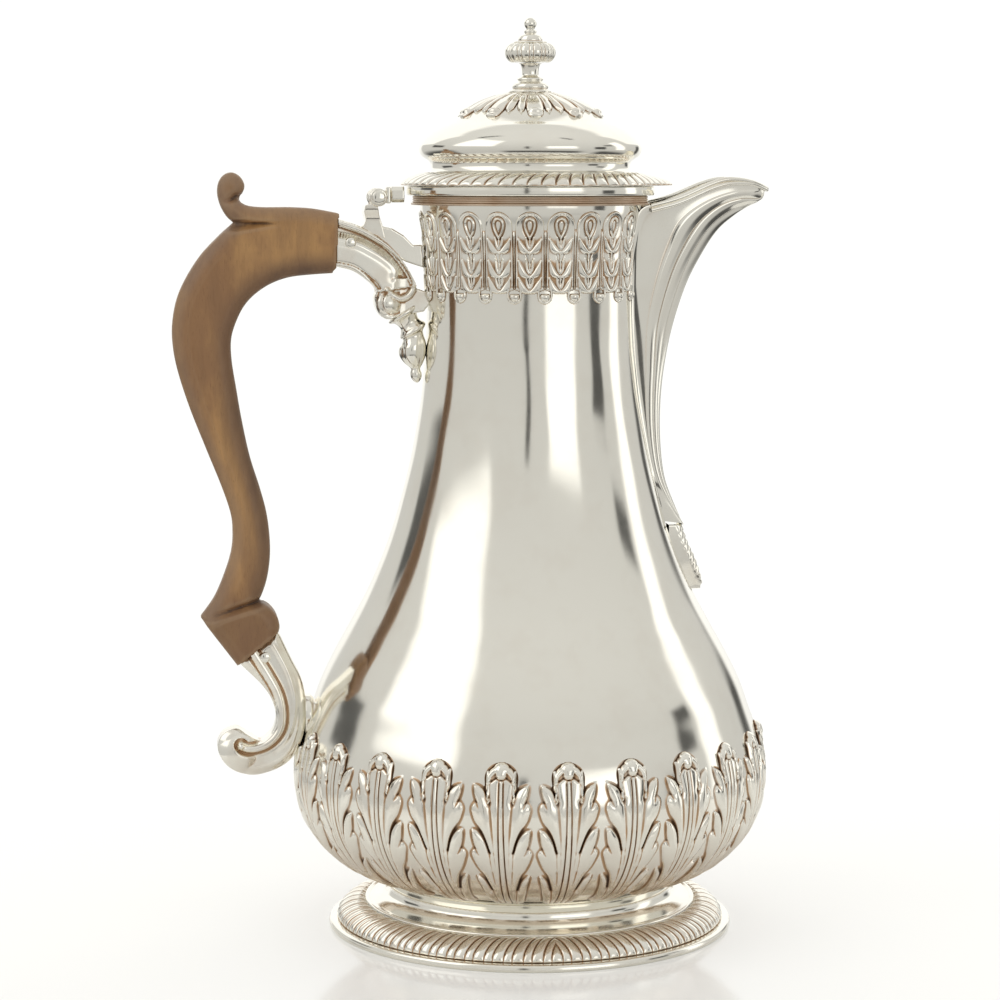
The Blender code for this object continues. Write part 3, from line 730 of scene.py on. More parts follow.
def rosette_relief(u, v):
    """One leaf of the lid's rosette, v from its base at the finial out to its rolled tip."""
    across = np.abs(u)
    blade, wide = smooth_line([(0.0, 16.2), (0.0, 11.0), (0.0, 0.5)], [2.6, 2.9, 1.6])
    height = stroke(across, v, blade, wide, 0.95)
    for points, widths, top in (
            ([(4.7, 15.2), (4.3, 13.0), (3.4, 9.0), (2.3, 4.6), (1.4, 0.5)],
             [0.4, 1.4, 1.6, 1.2, 0.7], 0.95),
            ([(4.3, 9.4), (3.9, 7.4), (3.0, 4.6), (2.2, 1.0)], [0.35, 1.1, 1.2, 0.8], 0.85)):
        line, wide = smooth_line(points, widths)
        height = np.maximum(height, stroke(across, v, line, wide, top))
    groove = stroke(across, v, [(3.2, 14.0), (2.7, 9.5), (1.7, 4.0)], [0.35, 0.3, 0.25], 0.4, 1.0)
    height = np.maximum(height - groove, 0.0)
    roll = np.clip(1.0 - (across / 2.4) ** 2 - ((v - 16.0) / 1.5) ** 2, 0.0, 1.0) ** 0.5
    return np.maximum(height, 1.8 * roll)


def make_rosette():
    path = curve(LID_LINE, 600)
    run = along(path)
    front = resample(path[(run > 0.3) & (run < 18.6)], 90)
    v = along(front)[:, None]
    back = back_of(front, thick=0.7, every=9)
    columns = ROSETTE_LEAVES * 72
    pitch = 2 * math.pi / ROSETTE_LEAVES
    turn = turns(columns)[None, :]
    off = (turn - FRONT + 0.6 * pitch) % pitch - pitch / 2
    leaf = rosette_relief(off * front[:, :1], v)
    turned("lid_rosette_leaves", front, back, columns, "lid", "lid_rosette",
           np.where(leaf > 0.02, 0.2 + leaf, -0.25), edged=True)


def make_finial():
    base = curve([(3.9, 289.0), (3.3, 288.6), (2.9, 287.4), (2.75, 285.8), (3.0, 284.9),
                  (4.2, 284.2)], 40)
    rings = curve([(4.25, 284.0), (4.35, 283.7), (4.1, 283.35), (4.4, 283.1)], 12)
    torus = curve([(4.6, 282.9), (5.6, 282.3), (6.05, 281.3), (5.85, 280.6)], 18)
    plate = curve([(6.2, 280.5), (6.9, 280.1), (7.1, 279.6), (6.9, 279.2), (6.8, 278.9)], 14)
    turned("finial_stem", np.vstack([base, rings, torus, plate]),
           resample([(1.9, 278.95), (1.9, 289.0), (3.6, 289.05)], 12), 96, "lid", "finial_base",
           rounds=5)

    front = curve([(3.4, 295.6), (5.6, 295.35), (7.3, 294.6), (8.05, 293.2), (8.0, 291.6),
                   (7.1, 290.2), (5.6, 289.5), (4.2, 289.2)], 50)
    turn = turns(BUN_FLUTES * 24)[None, :]
    phase = (turn * BUN_FLUTES / (2 * math.pi)) % 1.0
    t = (along(front) / along(front)[-1])[:, None]
    lobe = arc((phase - 0.33) / 0.33)
    dart = arc((phase - 0.83) / 0.15)
    relief = np.maximum(0.55 * lobe, 0.4 * dart) * ramp(t, 0.06, 0.25) * ramp(1.0 - t, 0.02, 0.2)
    turned("finial_bun_fluted", front, resample([(1.9, 289.25), (1.9, 295.5)], 8),
           BUN_FLUTES * 24, "lid", "finial_bun", relief - 0.15, rounds=6)

    ball = [(2.05 * math.sin(a), 301.95 + 2.05 * math.cos(a)) for a in np.linspace(0.0, 2.35, 24)]
    neck = curve([(1.45, 300.4), (1.4, 300.0), (1.9, 299.8), (2.1, 299.3), (1.95, 298.9),
                  (2.4, 298.6)], 20)
    cap = curve([(2.6, 298.5), (3.5, 298.0), (4.0, 297.0), (4.1, 296.3)], 16)
    foot = curve([(4.6, 296.2), (5.35, 296.1), (5.5, 295.8), (5.3, 295.5)], 10)
    bolt = resample([(5.3, 295.45), (1.5, 295.45), (1.5, 273.0), (0.0, 273.0)], 30)
    turned("finial_ball", np.vstack([ball, neck, cap, foot, bolt[1:]]), None, 72, "lid",
           "finial_top", rounds=5)


# ------------------------------------------------------------------ lofts and carved shapes

def loft(name, sections, body, replaced, slot="silver_cast", material=None, rounds=6):
    """A closed skin through closed sections, an array of (sections, points round each, 3)."""
    sections = np.asarray(sections, float)
    index = np.arange(sections.shape[0] * sections.shape[1]).reshape(sections.shape[:2])
    faces = [grid_faces(*sections.shape[:2], False, True), index[:1, ::-1], index[-1:]]
    obj = make_piece(name, sections.reshape(-1, 3), faces, material or silver, body, replaced,
                     rounds=rounds)
    obj.data.set_sharp_from_angle(angle=math.radians(60.0))
    return obj


def tube(name, path, radii, body, replaced, **rest):
    """A round wire along a path."""
    sides = 16
    path = np.asarray(path, float)
    step = np.gradient(path, axis=0)
    step /= np.linalg.norm(step, axis=1, keepdims=True)
    across = np.cross(step, (0.12, 0.31, 0.94))
    across /= np.linalg.norm(across, axis=1, keepdims=True)
    up = np.cross(across, step)
    turn = np.linspace(0.0, 2 * math.pi, sides, endpoint=False)[None, :, None]
    radii = np.broadcast_to(radii, len(path))[:, None, None]
    return loft(name, path[:, None] + radii * (across[:, None] * np.cos(turn)
                                               + up[:, None] * np.sin(turn)), body, replaced,
                **rest)


def sculpt(name, field, low, high, step, body, replaced, material=None, rounds=6):
    """Meshes the surface where field(x, y, z) is zero. The field is negative inside."""
    axes = [np.arange(a - step, b + 2 * step, step) for a, b in zip(low, high)]
    value = field(*np.meshgrid(*axes, indexing="ij", sparse=True))
    value = np.broadcast_to(value, [len(a) for a in axes]).astype(np.float32)
    inside = value < 0
    shape = tuple(n - 1 for n in value.shape)
    offsets = np.array([(i, j, k) for i in (0, 1) for j in (0, 1) for k in (0, 1)])

    def corner(grid, offset):
        i, j, k = offset
        return grid[i:i + shape[0], j:j + shape[1], k:k + shape[2]]

    full = sum(corner(inside, o).astype(np.int8) for o in offsets)
    cells = np.argwhere((full > 0) & (full < 8))
    near = np.stack([value[tuple((cells + o).T)] for o in offsets], axis=1)
    total = np.zeros((len(cells), 3))
    crossings = np.zeros((len(cells), 1))
    for a in range(8):
        for b in range(a + 1, 8):
            if np.abs(offsets[a] - offsets[b]).sum() != 1:
                continue
            first, second = near[:, a], near[:, b]
            cut = (first < 0) != (second < 0)
            t = np.where(cut, first / np.where(cut, first - second, 1.0), 0.0)[:, None]
            total += cut[:, None] * (offsets[a] + (offsets[b] - offsets[a]) * t)
            crossings += cut[:, None]
    points = (cells + total / crossings) * step + [a[0] for a in axes]
    number = np.full(shape, -1)
    number[tuple(cells.T)] = np.arange(len(cells))
    faces = []
    for axis in range(3):
        u, v = (axis + 1) % 3, (axis + 2) % 3
        start = np.take(inside, range(0, value.shape[axis] - 1), axis)
        end = np.take(inside, range(1, value.shape[axis]), axis)
        for flip in (False, True):
            edges = np.argwhere(end & ~start if flip else start & ~end)
            ring = []
            for du, dv in ((-1, -1), (0, -1), (0, 0), (-1, 0)):
                cell = edges.copy()
                cell[:, u] += du
                cell[:, v] += dv
                ring.append(number[tuple(cell.T)])
            ring = np.stack(ring, axis=1)
            faces.append(ring[:, ::-1] if flip else ring)
    return make_piece(name, points, [np.concatenate(faces)], material or silver, body, replaced,
                      rounds=rounds)


def reach_to(x, z, line):
    """The distance from each point to a line in the XZ plane, and how far along it is nearest."""
    best = np.full(np.broadcast(x, z).shape, 1e9)
    place = np.zeros_like(best)
    total = len(line) - 1
    for i, ((ax, az), (bx, bz)) in enumerate(zip(line, line[1:])):
        dx, dz = bx - ax, bz - az
        length = max(dx * dx + dz * dz, 1e-9)
        t = np.clip(((x - ax) * dx + (z - az) * dz) / length, 0.0, 1.0)
        reach = np.hypot(x - ax - t * dx, z - az - t * dz)
        closer = reach < best
        best = np.where(closer, reach, best)
        place = np.where(closer, (i + t) / total, place)
    return best, place


def depth_in(x, z, outline):
    """The distance from each point to a closed outline, positive inside it."""
    closed = np.vstack([outline, outline[:1]])
    reach = reach_to(x, z, closed)[0]
    inside = np.zeros(reach.shape, bool)
    for (ax, az), (bx, bz) in zip(closed, closed[1:]):
        if az != bz:
            inside ^= ((az > z) != (bz > z)) & (x < (bx - ax) * (z - az) / (bz - az) + ax)
    return np.where(inside, reach, -reach)


def body_radius(z):
    line = np.array(BODY_LINE)[::-1]
    return np.interp(z, line[:, 1], line[:, 0])


# ------------------------------------------------------------------ the spout

# The spout's ribs run between these lines. Each row goes from the keel outwards: the keel and
# three lines as (x, half width, z), then the edge, as (half width, z) where it lies on the body.
SPOUT = [
    [(52.6, 0, 134.4), (52.4, 0.9, 134.6), (52.0, 1.9, 135.0), (51.4, 2.9, 135.6), (3.8, 136.5)],
    [(48.6, 0, 143.2), (48.0, 1.4, 143.5), (46.9, 2.8, 144.0), (45.6, 4.1, 144.6), (5.2, 145.5)],
    [(45.6, 0, 151.5), (44.9, 1.7, 151.8), (43.5, 3.5, 152.2), (41.8, 5.2, 152.6), (6.6, 153.5)],
    [(44.2, 0, 162.0), (43.3, 2.0, 162.0), (41.6, 4.1, 162.2), (39.6, 6.1, 162.5), (8.0, 163.0)],
    [(43.9, 0, 174.0), (42.8, 2.2, 174.0), (40.8, 4.6, 174.0), (38.3, 6.9, 174.2), (9.4, 174.5)],
    [(45.0, 0, 187.5), (43.5, 2.4, 187.5), (41.0, 5.1, 187.6), (38.0, 7.6, 187.8), (10.6, 188.0)],
    [(47.8, 0, 202.0), (45.4, 2.6, 202.0), (41.9, 5.6, 202.2), (38.2, 8.3, 202.4), (11.6, 202.5)],
    [(52.3, 0, 216.0), (49.6, 2.8, 216.2), (45.4, 5.9, 216.6), (40.9, 8.8, 217.0), (12.2, 218.0)],
    [(57.6, 0, 226.5), (54.5, 2.9, 227.0), (49.9, 6.0, 227.6), (44.6, 9.0, 228.4), (12.2, 231.0)],
    [(63.0, 0, 234.2), (60.3, 2.6, 235.2), (55.6, 5.7, 236.4), (49.2, 9.0, 237.6),
     (35.5, 12.0, 241.3)],
    [(68.6, 0, 239.0), (66.8, 1.9, 240.2), (63.0, 4.9, 242.2), (57.6, 7.8, 243.6),
     (47.0, 10.2, 243.6)],
    [(73.2, 0, 242.0), (73.2, 0.5, 242.6), (70.6, 3.4, 244.6), (67.6, 5.6, 247.0),
     (63.0, 7.2, 249.8)],
    [(77.9, 0, 244.3), (77.9, 0.3, 244.5), (77.9, 0.8, 244.8), (76.2, 2.8, 247.4),
     (73.5, 4.3, 249.8)],
    [(79.5, 0, 247.2), (79.5, 0.2, 247.3), (79.4, 0.5, 247.5), (79.1, 1.0, 247.9),
     (78.7, 1.6, 248.3)],
]


def spout_rails():
    rails = []
    for *lines, edge in SPOUT:
        if len(edge) == 2:
            half, z = edge
            radius = body_radius(z) - 0.4
            edge = (math.sqrt(radius * radius - half * half), half, z)
        rails.append([*lines, edge])
    rails = np.array(rails, float)
    return np.stack([curve(rails[:, k], 150) for k in range(rails.shape[1])], axis=1)


def make_spout():
    rails = spout_rails()
    mirrored = rails[:, :0:-1] * (1.0, -1.0, 1.0)
    rows = np.concatenate([mirrored, rails], axis=1)
    lanes = np.linspace(0.0, rows.shape[1] - 1.0, 121)
    skin = np.stack([curve_by_index(row, lanes) for row in rows])
    normal = np.cross(np.gradient(skin, axis=1), np.gradient(skin, axis=0))     # outwards
    normal /= np.maximum(np.linalg.norm(normal, axis=2, keepdims=True), 1e-9)
    away = np.abs(lanes - 4.0)            # in lines from the keel
    width = np.linalg.norm(rails[:, 3] - rails[:, 2], axis=1)[:, None]
    rib = np.zeros((len(rows), len(lanes)))
    for low, high, share in ((-1.0, 1.0, 0.08), (1.0, 2.0, 0.17), (2.0, 3.0, 0.17)):
        place = (2 * away - low - high) / (high - low)
        rib = np.maximum(rib, share * width * arc(place))
    dish = -0.25 * np.clip(1.0 - (2 * away - 7.0) ** 2, 0.0, 1.0)
    bead = 0.2 * arc((away - 3.93) / 0.07)
    order = np.arange(len(rows))[:, None]
    fade = ramp(order, 0, 6) * ramp(len(rows) - order, 1, 8)
    outer = skin + normal * (fade * (rib + dish * width / 4.0 + bead))[..., None]
    inner = skin - normal * 1.0
    sections = np.concatenate([outer, inner[:, ::-1]], axis=1)
    loft("spout_fluted", sections, "pot", "spout", slot="silver_body", material=plain_silver,
         rounds=7)

    edge = rails[:, 4]
    free = edge[edge[:, 2] > 241.4]
    start = np.array([[38.6, 11.3, 241.6]])
    side = np.vstack([start, free[free[:, 0] > 41.0]])
    tip = np.array([[80.2, 0.0, 247.6]])
    closing = 1.0 - 0.6 * ramp(side[:, 0], 64.0, 79.0)
    for number, (out, lift, radius) in enumerate(((0.15, 0.75, 0.85), (0.55, -0.75, 0.8))):
        shifted = side + np.stack([0 * closing, out * closing, lift * closing], axis=1)
        nose = tip + (0.0, 0.0, 0.35 * lift)
        line = curve(np.vstack([shifted[::5], nose, (shifted * (1, -1, 1))[::-1][::5]]), 160)
        thick = radius * (1.0 - 0.35 * ramp(line[:, 0], 60.0, 80.0))
        tube(f"spout_rim_reed_{number + 1}", line, thick, "pot", "spout_rim_wire", rounds=3,
             slot="silver_ornament")


def make_spout_drop():
    right = curve([(51.8, 135.6), (53.9, 129.5), (57.0, 122.6), (59.1, 115.7), (58.4, 113.6)], 40)
    middle = curve([(49.6, 134.0), (52.2, 127.5), (55.4, 120.6), (57.4, 114.6)], 40)

    def field(x, y, z):
        reach, t = reach_to(x, z, middle)
        half = 3.9 * np.clip(1.0 - 0.75 * t ** 2.2, 0.1, 1.0)
        lobes = 0.38 * np.abs(np.sin((t * 8.5 - np.abs(y) / 4.2) * math.pi)) ** 0.7
        ridge = 0.35 * bell(y / 0.6)
        outside = x > np.interp(z, right[::-1, 1], right[::-1, 0])
        front = reach_to(x, z, right)[0] * np.where(outside, 1.0, -1.0)
        crown = 1.9 * (y / half) ** 2
        shape = front + 0.75 + crown - lobes - ridge
        return largest(shape, np.abs(y) - half, -np.hypot(x, y) + body_radius(z) - 0.6,
                       113.0 - z, z - 135.2)

    sculpt("spout_drop_leaf", field, (47.0, -4.5, 112.5), (61.5, 4.5, 136.0), 0.3, "pot",
           "spout_drop")


# ------------------------------------------------------------------ the handle

def make_handle():
    outer = curve([(-98.5, 236.9), (-103.0, 232.7), (-108.9, 226.6), (-113.6, 219.6),
                   (-116.9, 212.6), (-118.5, 205.3), (-118.7, 198.2), (-117.3, 189.3),
                   (-113.5, 176.8), (-108.1, 162.7), (-103.1, 150.0), (-100.2, 141.0),
                   (-99.6, 135.1), (-100.0, 129.1), (-101.9, 122.4), (-105.7, 113.5),
                   (-110.6, 106.6)], 120)
    inner = curve([(-91.0, 111.9), (-88.7, 118.4), (-87.5, 125.9), (-87.5, 133.4), (-88.5, 141.6),
                   (-90.6, 149.8), (-93.8, 160.3), (-96.3, 172.2), (-98.0, 182.6), (-99.4, 191.9),
                   (-99.5, 198.8), (-97.8, 204.6), (-95.0, 209.9), (-91.0, 214.0), (-85.8, 217.2),
                   (-79.9, 219.1), (-72.5, 219.9), (-66.0, 220.3)], 120)
    top = curve([(-63.8, 239.9), (-72.0, 241.4), (-79.7, 241.9), (-88.3, 241.9), (-92.9, 242.3),
                 (-95.2, 243.1), (-96.4, 244.4), (-95.3, 246.4), (-94.6, 248.5), (-95.0, 250.4),
                 (-96.5, 252.3), (-98.9, 253.3), (-101.3, 252.4), (-103.0, 250.1),
                 (-103.5, 246.6), (-102.6, 242.7), (-100.7, 239.2), (-98.5, 236.9)], 120)
    bulge = curve([(-84.9, 101.4), (-84.5, 103.6), (-85.4, 107.0), (-87.7, 109.9),
                   (-91.0, 111.9)], 24)
    foot = [(-110.6, 106.6), (-98.5, 90.4)]
    outline = np.vstack([outer, foot[1:], bulge, inner, [(-64.9, 222.1)], top[:-1]])
    soft_sides = [outer, inner, top, bulge, np.array(foot)]
    crease = [(-90.9, 111.9), (-96.3, 110.4), (-100.7, 109.0), (-105.5, 107.4)]
    lip = np.array([(-99.5, 237.7), (-96.0, 237.5), (-90.0, 237.1), (-81.5, 236.6)])
    curl_cut = [(-95.2, 245.6), (-97.4, 245.4), (-99.4, 244.2), (-100.7, 243.8)]

    def field(x, y, z):
        """half is the wood's half thickness: a knob at the foot, thinner towards the curl and the
        outer edge, with a lip under the thumb and two creases cut in. The edges are rounded."""
        depth = depth_in(x, z, outline)
        side = np.min([reach_to(x, z, line)[0] for line in soft_sides], axis=0)
        from_outer = reach_to(x, z, outer)[0]
        below = (z - 111.9) - (x + 90.9) * 0.31
        knob = ramp(below, 0.2, -2.4)
        flat = 6.9 - 1.0 * bell(np.maximum(below, 0.0) / 9.0)
        half = flat * (1.0 - knob) + 8.2 * knob
        curl = np.hypot(x + 99.0, z - 248.4)
        half = half - 1.2 * ramp(z, 241.0, 246.0)
        half = half - 1.5 * np.clip(5.2 - from_outer, 0.0, 5.2) / 5.2 * ramp(z, 234.0, 226.0)
        under = np.interp(x, lip[:, 0], lip[:, 1]) - z
        left = np.clip((-81.5 - x) / 16.0, 0.0, 1.0)
        wedge = ramp(under, -0.4, 0.3) * ramp(3.4 * left + 0.6 - under, 0.0, 2.2)
        half = half - 3.3 * wedge * left ** 0.7
        for line, deep, wide in ((crease, 2.2, 0.9), (curl_cut, 3.4, 1.0)):
            reach, t = reach_to(x, z, line)
            half = half - deep * (1.0 - 0.85 * t) * bell(reach / wide)
        half = half - 0.25 * (curl < 3.2) * (1.0 - curl / 3.2)
        near_side = np.maximum(4.6 - np.where(depth > 0.0, side, -side), 0.0)
        flank = np.maximum((np.abs(y) - half) / 0.8 + 4.6, 0.0)
        return np.maximum(np.hypot(flank, near_side) - 4.6, -depth)

    mesh = sculpt("handle_carved", field, (-120.0, -8.8, 89.5), (-63.0, 8.8, 254.5), 0.55, "pot",
                  "handle_wood", material=wood, rounds=7).data
    place = np.empty(3 * len(mesh.vertices), np.float32)
    mesh.vertices.foreach_get("co", place)
    x, z = (place[0::3] - AXIS.x) / MM, place[2::3] / MM
    # The wood's painted light: painted shade along the inner edge, and a painted grey sheen along
    # the outer edge and the top.
    for name, lines, near, far in (("painted_shade", [inner], 1.0, 9.0), ("edge", [outer, top], 1.0, 5.5)):
        reach = np.min([reach_to(x, z, line)[0] for line in lines], axis=0)
        value = 1.0 - ramp(reach, near, far)
        # Painted shade low on the knob as well, below about 118 mm.
        if name == "painted_shade":
            value = np.maximum(value, 0.7 * ramp(z, 118.0, 107.0))
        mesh.attributes.new(name, "FLOAT", "POINT").data.foreach_set("value",
                                                                     value.astype(np.float32))


# ------------------------------------------------------------------ the handle's sockets

def make_upper_socket():
    rim = curve([(-63.6, 237.9), (-56.7, 235.5), (-48.8, 230.3), (-43.6, 225.0), (-39.9, 219.2),
                 (-38.4, 215.2), (-39.2, 211.9), (-42.0, 209.4)], 60)
    outer = np.vstack([[(-66.5, 238.6)], rim[:-10], [(-35.0, 214.0), (-34.0, 210.0)]])
    lower = curve([(-43.5, 206.3), (-47.3, 205.0), (-49.9, 205.9), (-51.7, 208.6), (-52.3, 212.2),
                   (-51.8, 214.8), (-54.7, 217.9), (-59.4, 221.0), (-64.5, 222.4)], 50)
    outline = np.vstack([outer, [(-36.0, 207.5)], lower, [(-66.5, 222.7)]])
    moulding = curve([(-66.5, 237.3), (-63.9, 236.7), (-56.4, 234.1), (-48.2, 229.3), (-42.9, 224.4),
                      (-39.6, 219.0), (-39.4, 215.6), (-41.0, 212.9), (-43.6, 211.8),
                      (-46.2, 212.9), (-48.3, 214.7)], 60)
    panel = curve([(-68.0, 231.7), (-58.8, 229.8), (-53.7, 227.4), (-49.2, 224.6),
                   (-46.0, 221.4), (-46.2, 218.6)], 40)
    bevel = curve([(-68.0, 224.2), (-60.4, 223.0), (-56.8, 221.1), (-53.8, 218.2),
                   (-51.2, 214.9)], 30)
    crest = np.array([(-57.4, 235.0), (-55.3, 236.5), (-50.3, 235.8), (-46.4, 234.9),
                      (-42.6, 232.6), (-39.5, 229.4), (-36.5, 229.5), (-36.0, 222.0),
                      (-42.0, 224.0), (-49.0, 229.0)])

    def field(x, y, z):
        """half is the casting's half thickness: a sunk channel between the raised moulding and
        the panel, bevelled below, with a leaf crest over it and a volute at its end."""
        depth = depth_in(x, z, outline)
        lip = reach_to(x, z, moulding)[0]
        step = reach_to(x, z, panel)[0]
        edge = reach_to(x, z, bevel)[0]
        below = z < np.interp(x, bevel[:, 0], bevel[:, 1])
        half = np.full(depth.shape, 6.1)
        inner = z < np.interp(x, panel[:, 0], panel[:, 1])
        half = half - np.where(inner, 0.5 * bell(step / 1.1), 0.5 + 2.3 * ramp(step, 0.0, 3.4))
        half = np.minimum(half, 6.7 - 1.9 * ramp(x, -49.0, -42.0))
        half = half - 0.5 * bell(edge / 0.45)
        half = np.where(below & (x < -51.0), half - 0.55 * edge, half)
        outside = lip > 0.9
        half = np.maximum(half, (5.0 + 2.1 * arc(lip / 1.15)) * (lip < 1.15) * (x > -64.3))
        rim_side = outside & (depth < 1.6) & (x < -38.0) & (z > 213.0) & ~below
        half = np.where(rim_side, 5.4 - 0.6 * (1.6 - depth), half)
        crest_depth = depth_in(x, z, crest)
        half = np.where(depth > 0.0, half, 4.4)
        depth = np.maximum(depth, crest_depth)
        ball = np.hypot(x + 48.0, z - 210.2)
        volute = 6.9 * arc(ball / 5.3)
        groove = bell((np.hypot(x + 46.2, z - 210.6) - 3.9) / 0.45)
        half = np.where(z < 214.5 + 0.15 * (x + 48.0), np.maximum(half - 1.0, volute), half)
        half = half - 0.5 * groove * (x < -44.0) * (z < 214.0)
        hull = np.hypot(x, y) - body_radius(z) + 0.3
        return largest(np.abs(y) - half, -depth, -hull)

    sculpt("upper_socket_cast", field, (-66.6, -7.4, 204.0), (-33.0, 7.4, 239.0), 0.3, "pot",
           "upper_socket", brown_silver, rounds=9)


def make_socket_drop():
    """Two slanted collars over a faceted bud with a bead for its tip."""
    places = [(-42.3, 207.6, 33, 5.4), (-42.5, 207.1, 33, 5.8), (-42.2, 206.4, 33, 5.6),
              (-41.6, 205.6, 33, 4.3), (-40.6, 203.8, 33, 3.5), (-40.0, 202.6, 33, 3.9),
              (-39.6, 201.8, 33, 4.6), (-39.3, 201.2, 32, 4.9), (-39.1, 200.6, 30, 4.6),
              (-39.2, 199.6, 26, 3.7), (-39.3, 198.0, 20, 3.9), (-39.4, 195.6, 12, 4.4),
              (-39.3, 193.0, 6, 4.2), (-39.0, 190.6, 3, 3.1), (-38.6, 189.0, 0, 1.9),
              (-38.4, 188.2, 0, 1.55), (-38.3, 187.0, 0, 1.9), (-38.2, 185.6, 0, 1.8),
              (-38.1, 184.4, 0, 1.1), (-38.0, 183.8, 0, 0.4)]
    line = curve_by_index(np.array(places), np.linspace(0.0, len(places) - 1.0, 130))
    turn = np.linspace(0.0, 2 * math.pi, 48, endpoint=False)[None, :]
    facet = ramp(198.6 - line[:, 1], 0.0, 2.0) * ramp(line[:, 1] - 188.6, 0.0, 1.5)
    corner = 1.0 + 0.13 * facet[:, None] * (np.abs(np.cos(2 * turn + 0.3)) ** 0.7 - 0.55)
    radius = line[:, 3:] * corner
    tilt = np.radians(line[:, 2:3])
    points = np.stack([line[:, :1] + radius * np.cos(turn) * np.cos(tilt),
                       radius * np.sin(turn) * 0.95 + 0 * tilt,
                       line[:, 1:2] + radius * np.cos(turn) * np.sin(tilt)], axis=-1)
    loft("socket_bud", points, "pot", "socket_drop", rounds=6)


def make_lower_socket():
    right = curve([(-84.4, 100.3), (-80.5, 91.9), (-77.5, 85.8), (-76.1, 79.0), (-76.0, 70.0),
                   (-78.8, 61.3), (-84.4, 55.8), (-93.8, 53.2), (-101.5, 56.2), (-105.3, 61.9),
                   (-103.9, 67.0), (-99.2, 69.2), (-95.8, 67.3)], 90)
    left = curve([(-95.8, 67.3), (-92.8, 65.5), (-90.9, 64.8), (-87.7, 67.1), (-86.2, 70.1),
                  (-85.9, 74.0), (-87.6, 79.3), (-91.0, 84.2), (-97.4, 90.6)], 60)
    outline = np.vstack([[(-85.5, 101.8)], right, left[1:], [(-98.5, 92.1)]])
    rib = curve([(-93.6, 95.4), (-92.4, 93.4), (-88.6, 87.2), (-85.4, 81.0), (-84.0, 75.0),
                 (-84.3, 70.0), (-86.2, 66.3), (-89.4, 63.6), (-93.3, 62.4), (-96.2, 62.6),
                 (-97.7, 63.8)], 60)
    ridge = curve([(-88.4, 100.3), (-87.4, 98.4), (-82.8, 89.7), (-80.5, 82.9), (-79.7, 77.4),
                   (-80.6, 70.7), (-83.0, 65.0), (-87.5, 60.6)], 50)

    def field(x, y, z):
        """half is the casting's half thickness: a raised rib and a ridge along the scroll, which
        swells round the bead at its end."""
        depth = depth_in(x, z, outline)
        rib_reach, t = reach_to(x, z, rib)
        ridge_reach, s = reach_to(x, z, ridge)
        half = 5.3 - 1.9 * np.clip(1.0 - depth / 3.0, 0.0, 1.0) ** 2
        wide = 1.75 - 0.35 * t
        half = np.maximum(half, (4.4 + 1.9 * arc(rib_reach / wide)) * (rib_reach < wide))
        half = half - 0.9 * bell((rib_reach - wide - 0.35) / 0.4)
        half = half + 0.45 * bell(ridge_reach / 0.7) * (1.0 - ramp(s, 0.75, 1.0))
        ball = np.hypot(x + 98.3, z - 61.0)
        swell = 7.2 * arc(ball / 8.6)
        near_rib = ramp(rib_reach, wide, wide + 1.2)
        half = np.maximum(half, swell * near_rib * (x < -90.0))
        bead = np.hypot(x + 97.6, z - 63.3)
        half = np.maximum(half, 7.0 * (bead < 1.9) * arc(bead / 2.2))
        return np.maximum(np.abs(y) - half, -depth)

    sculpt("lower_socket_cast", field, (-106.0, -7.6, 52.5), (-75.5, 7.6, 102.0), 0.32, "pot",
           "lower_socket", brown_silver, rounds=9)

    boss = np.array([(-76.2, 79.5), (-73.2, 79.5), (-73.2, 77.6), (-72.2, 77.0), (-66.0, 77.0),
                     (-66.0, 67.0), (-76.2, 67.0)])

    def boss_field(x, y, z):
        depth = depth_in(x, z, boss)
        reach = np.hypot(y, (z - 73.0) * 1.05)
        plate = 7.4 - 1.4 * ramp(x, -74.2, -73.6) + 0.5 * ramp(x, -73.2, -72.4)
        return np.maximum(reach - plate, -depth)

    sculpt("lower_boss_plate", boss_field, (-76.5, -8.0, 66.5), (-66.0, 8.0, 80.0), 0.35, "pot",
           "lower_boss")


def disc(name, middle, radius, half_length, body, replaced, dome=0.35):
    """A short round bar across the vessel with slightly domed ends, centred at middle."""
    sides = 40
    profile = [(0.05, half_length + dome), (0.6 * radius, half_length + 0.8 * dome),
               (0.92 * radius, half_length + 0.25 * dome), (radius, half_length - 0.1)]
    profile += [(r, -y) for r, y in profile[::-1]]
    turn = np.linspace(0.0, 2 * math.pi, sides, endpoint=False)[None, :]
    line = np.array(profile)
    points = np.stack([middle[0] + line[:, :1] * np.cos(turn),
                       middle[1] + line[:, 1:] + 0 * turn,
                       middle[2] + line[:, :1] * np.sin(turn)], axis=-1)
    return loft(name, points, body, replaced, rounds=0, material=plain_silver)


def make_pins():
    for name, half in (("upper_handle_pin", 6.2), ("lower_handle_pin", 6.0)):
        low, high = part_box(name)
        middle = (low + high) / 2
        disc(name + "_rivet", ((middle.x - AXIS.x) / MM, 0.0, middle.z / MM), 1.75, half, "pot",
             name)


# ------------------------------------------------------------------ the hinge

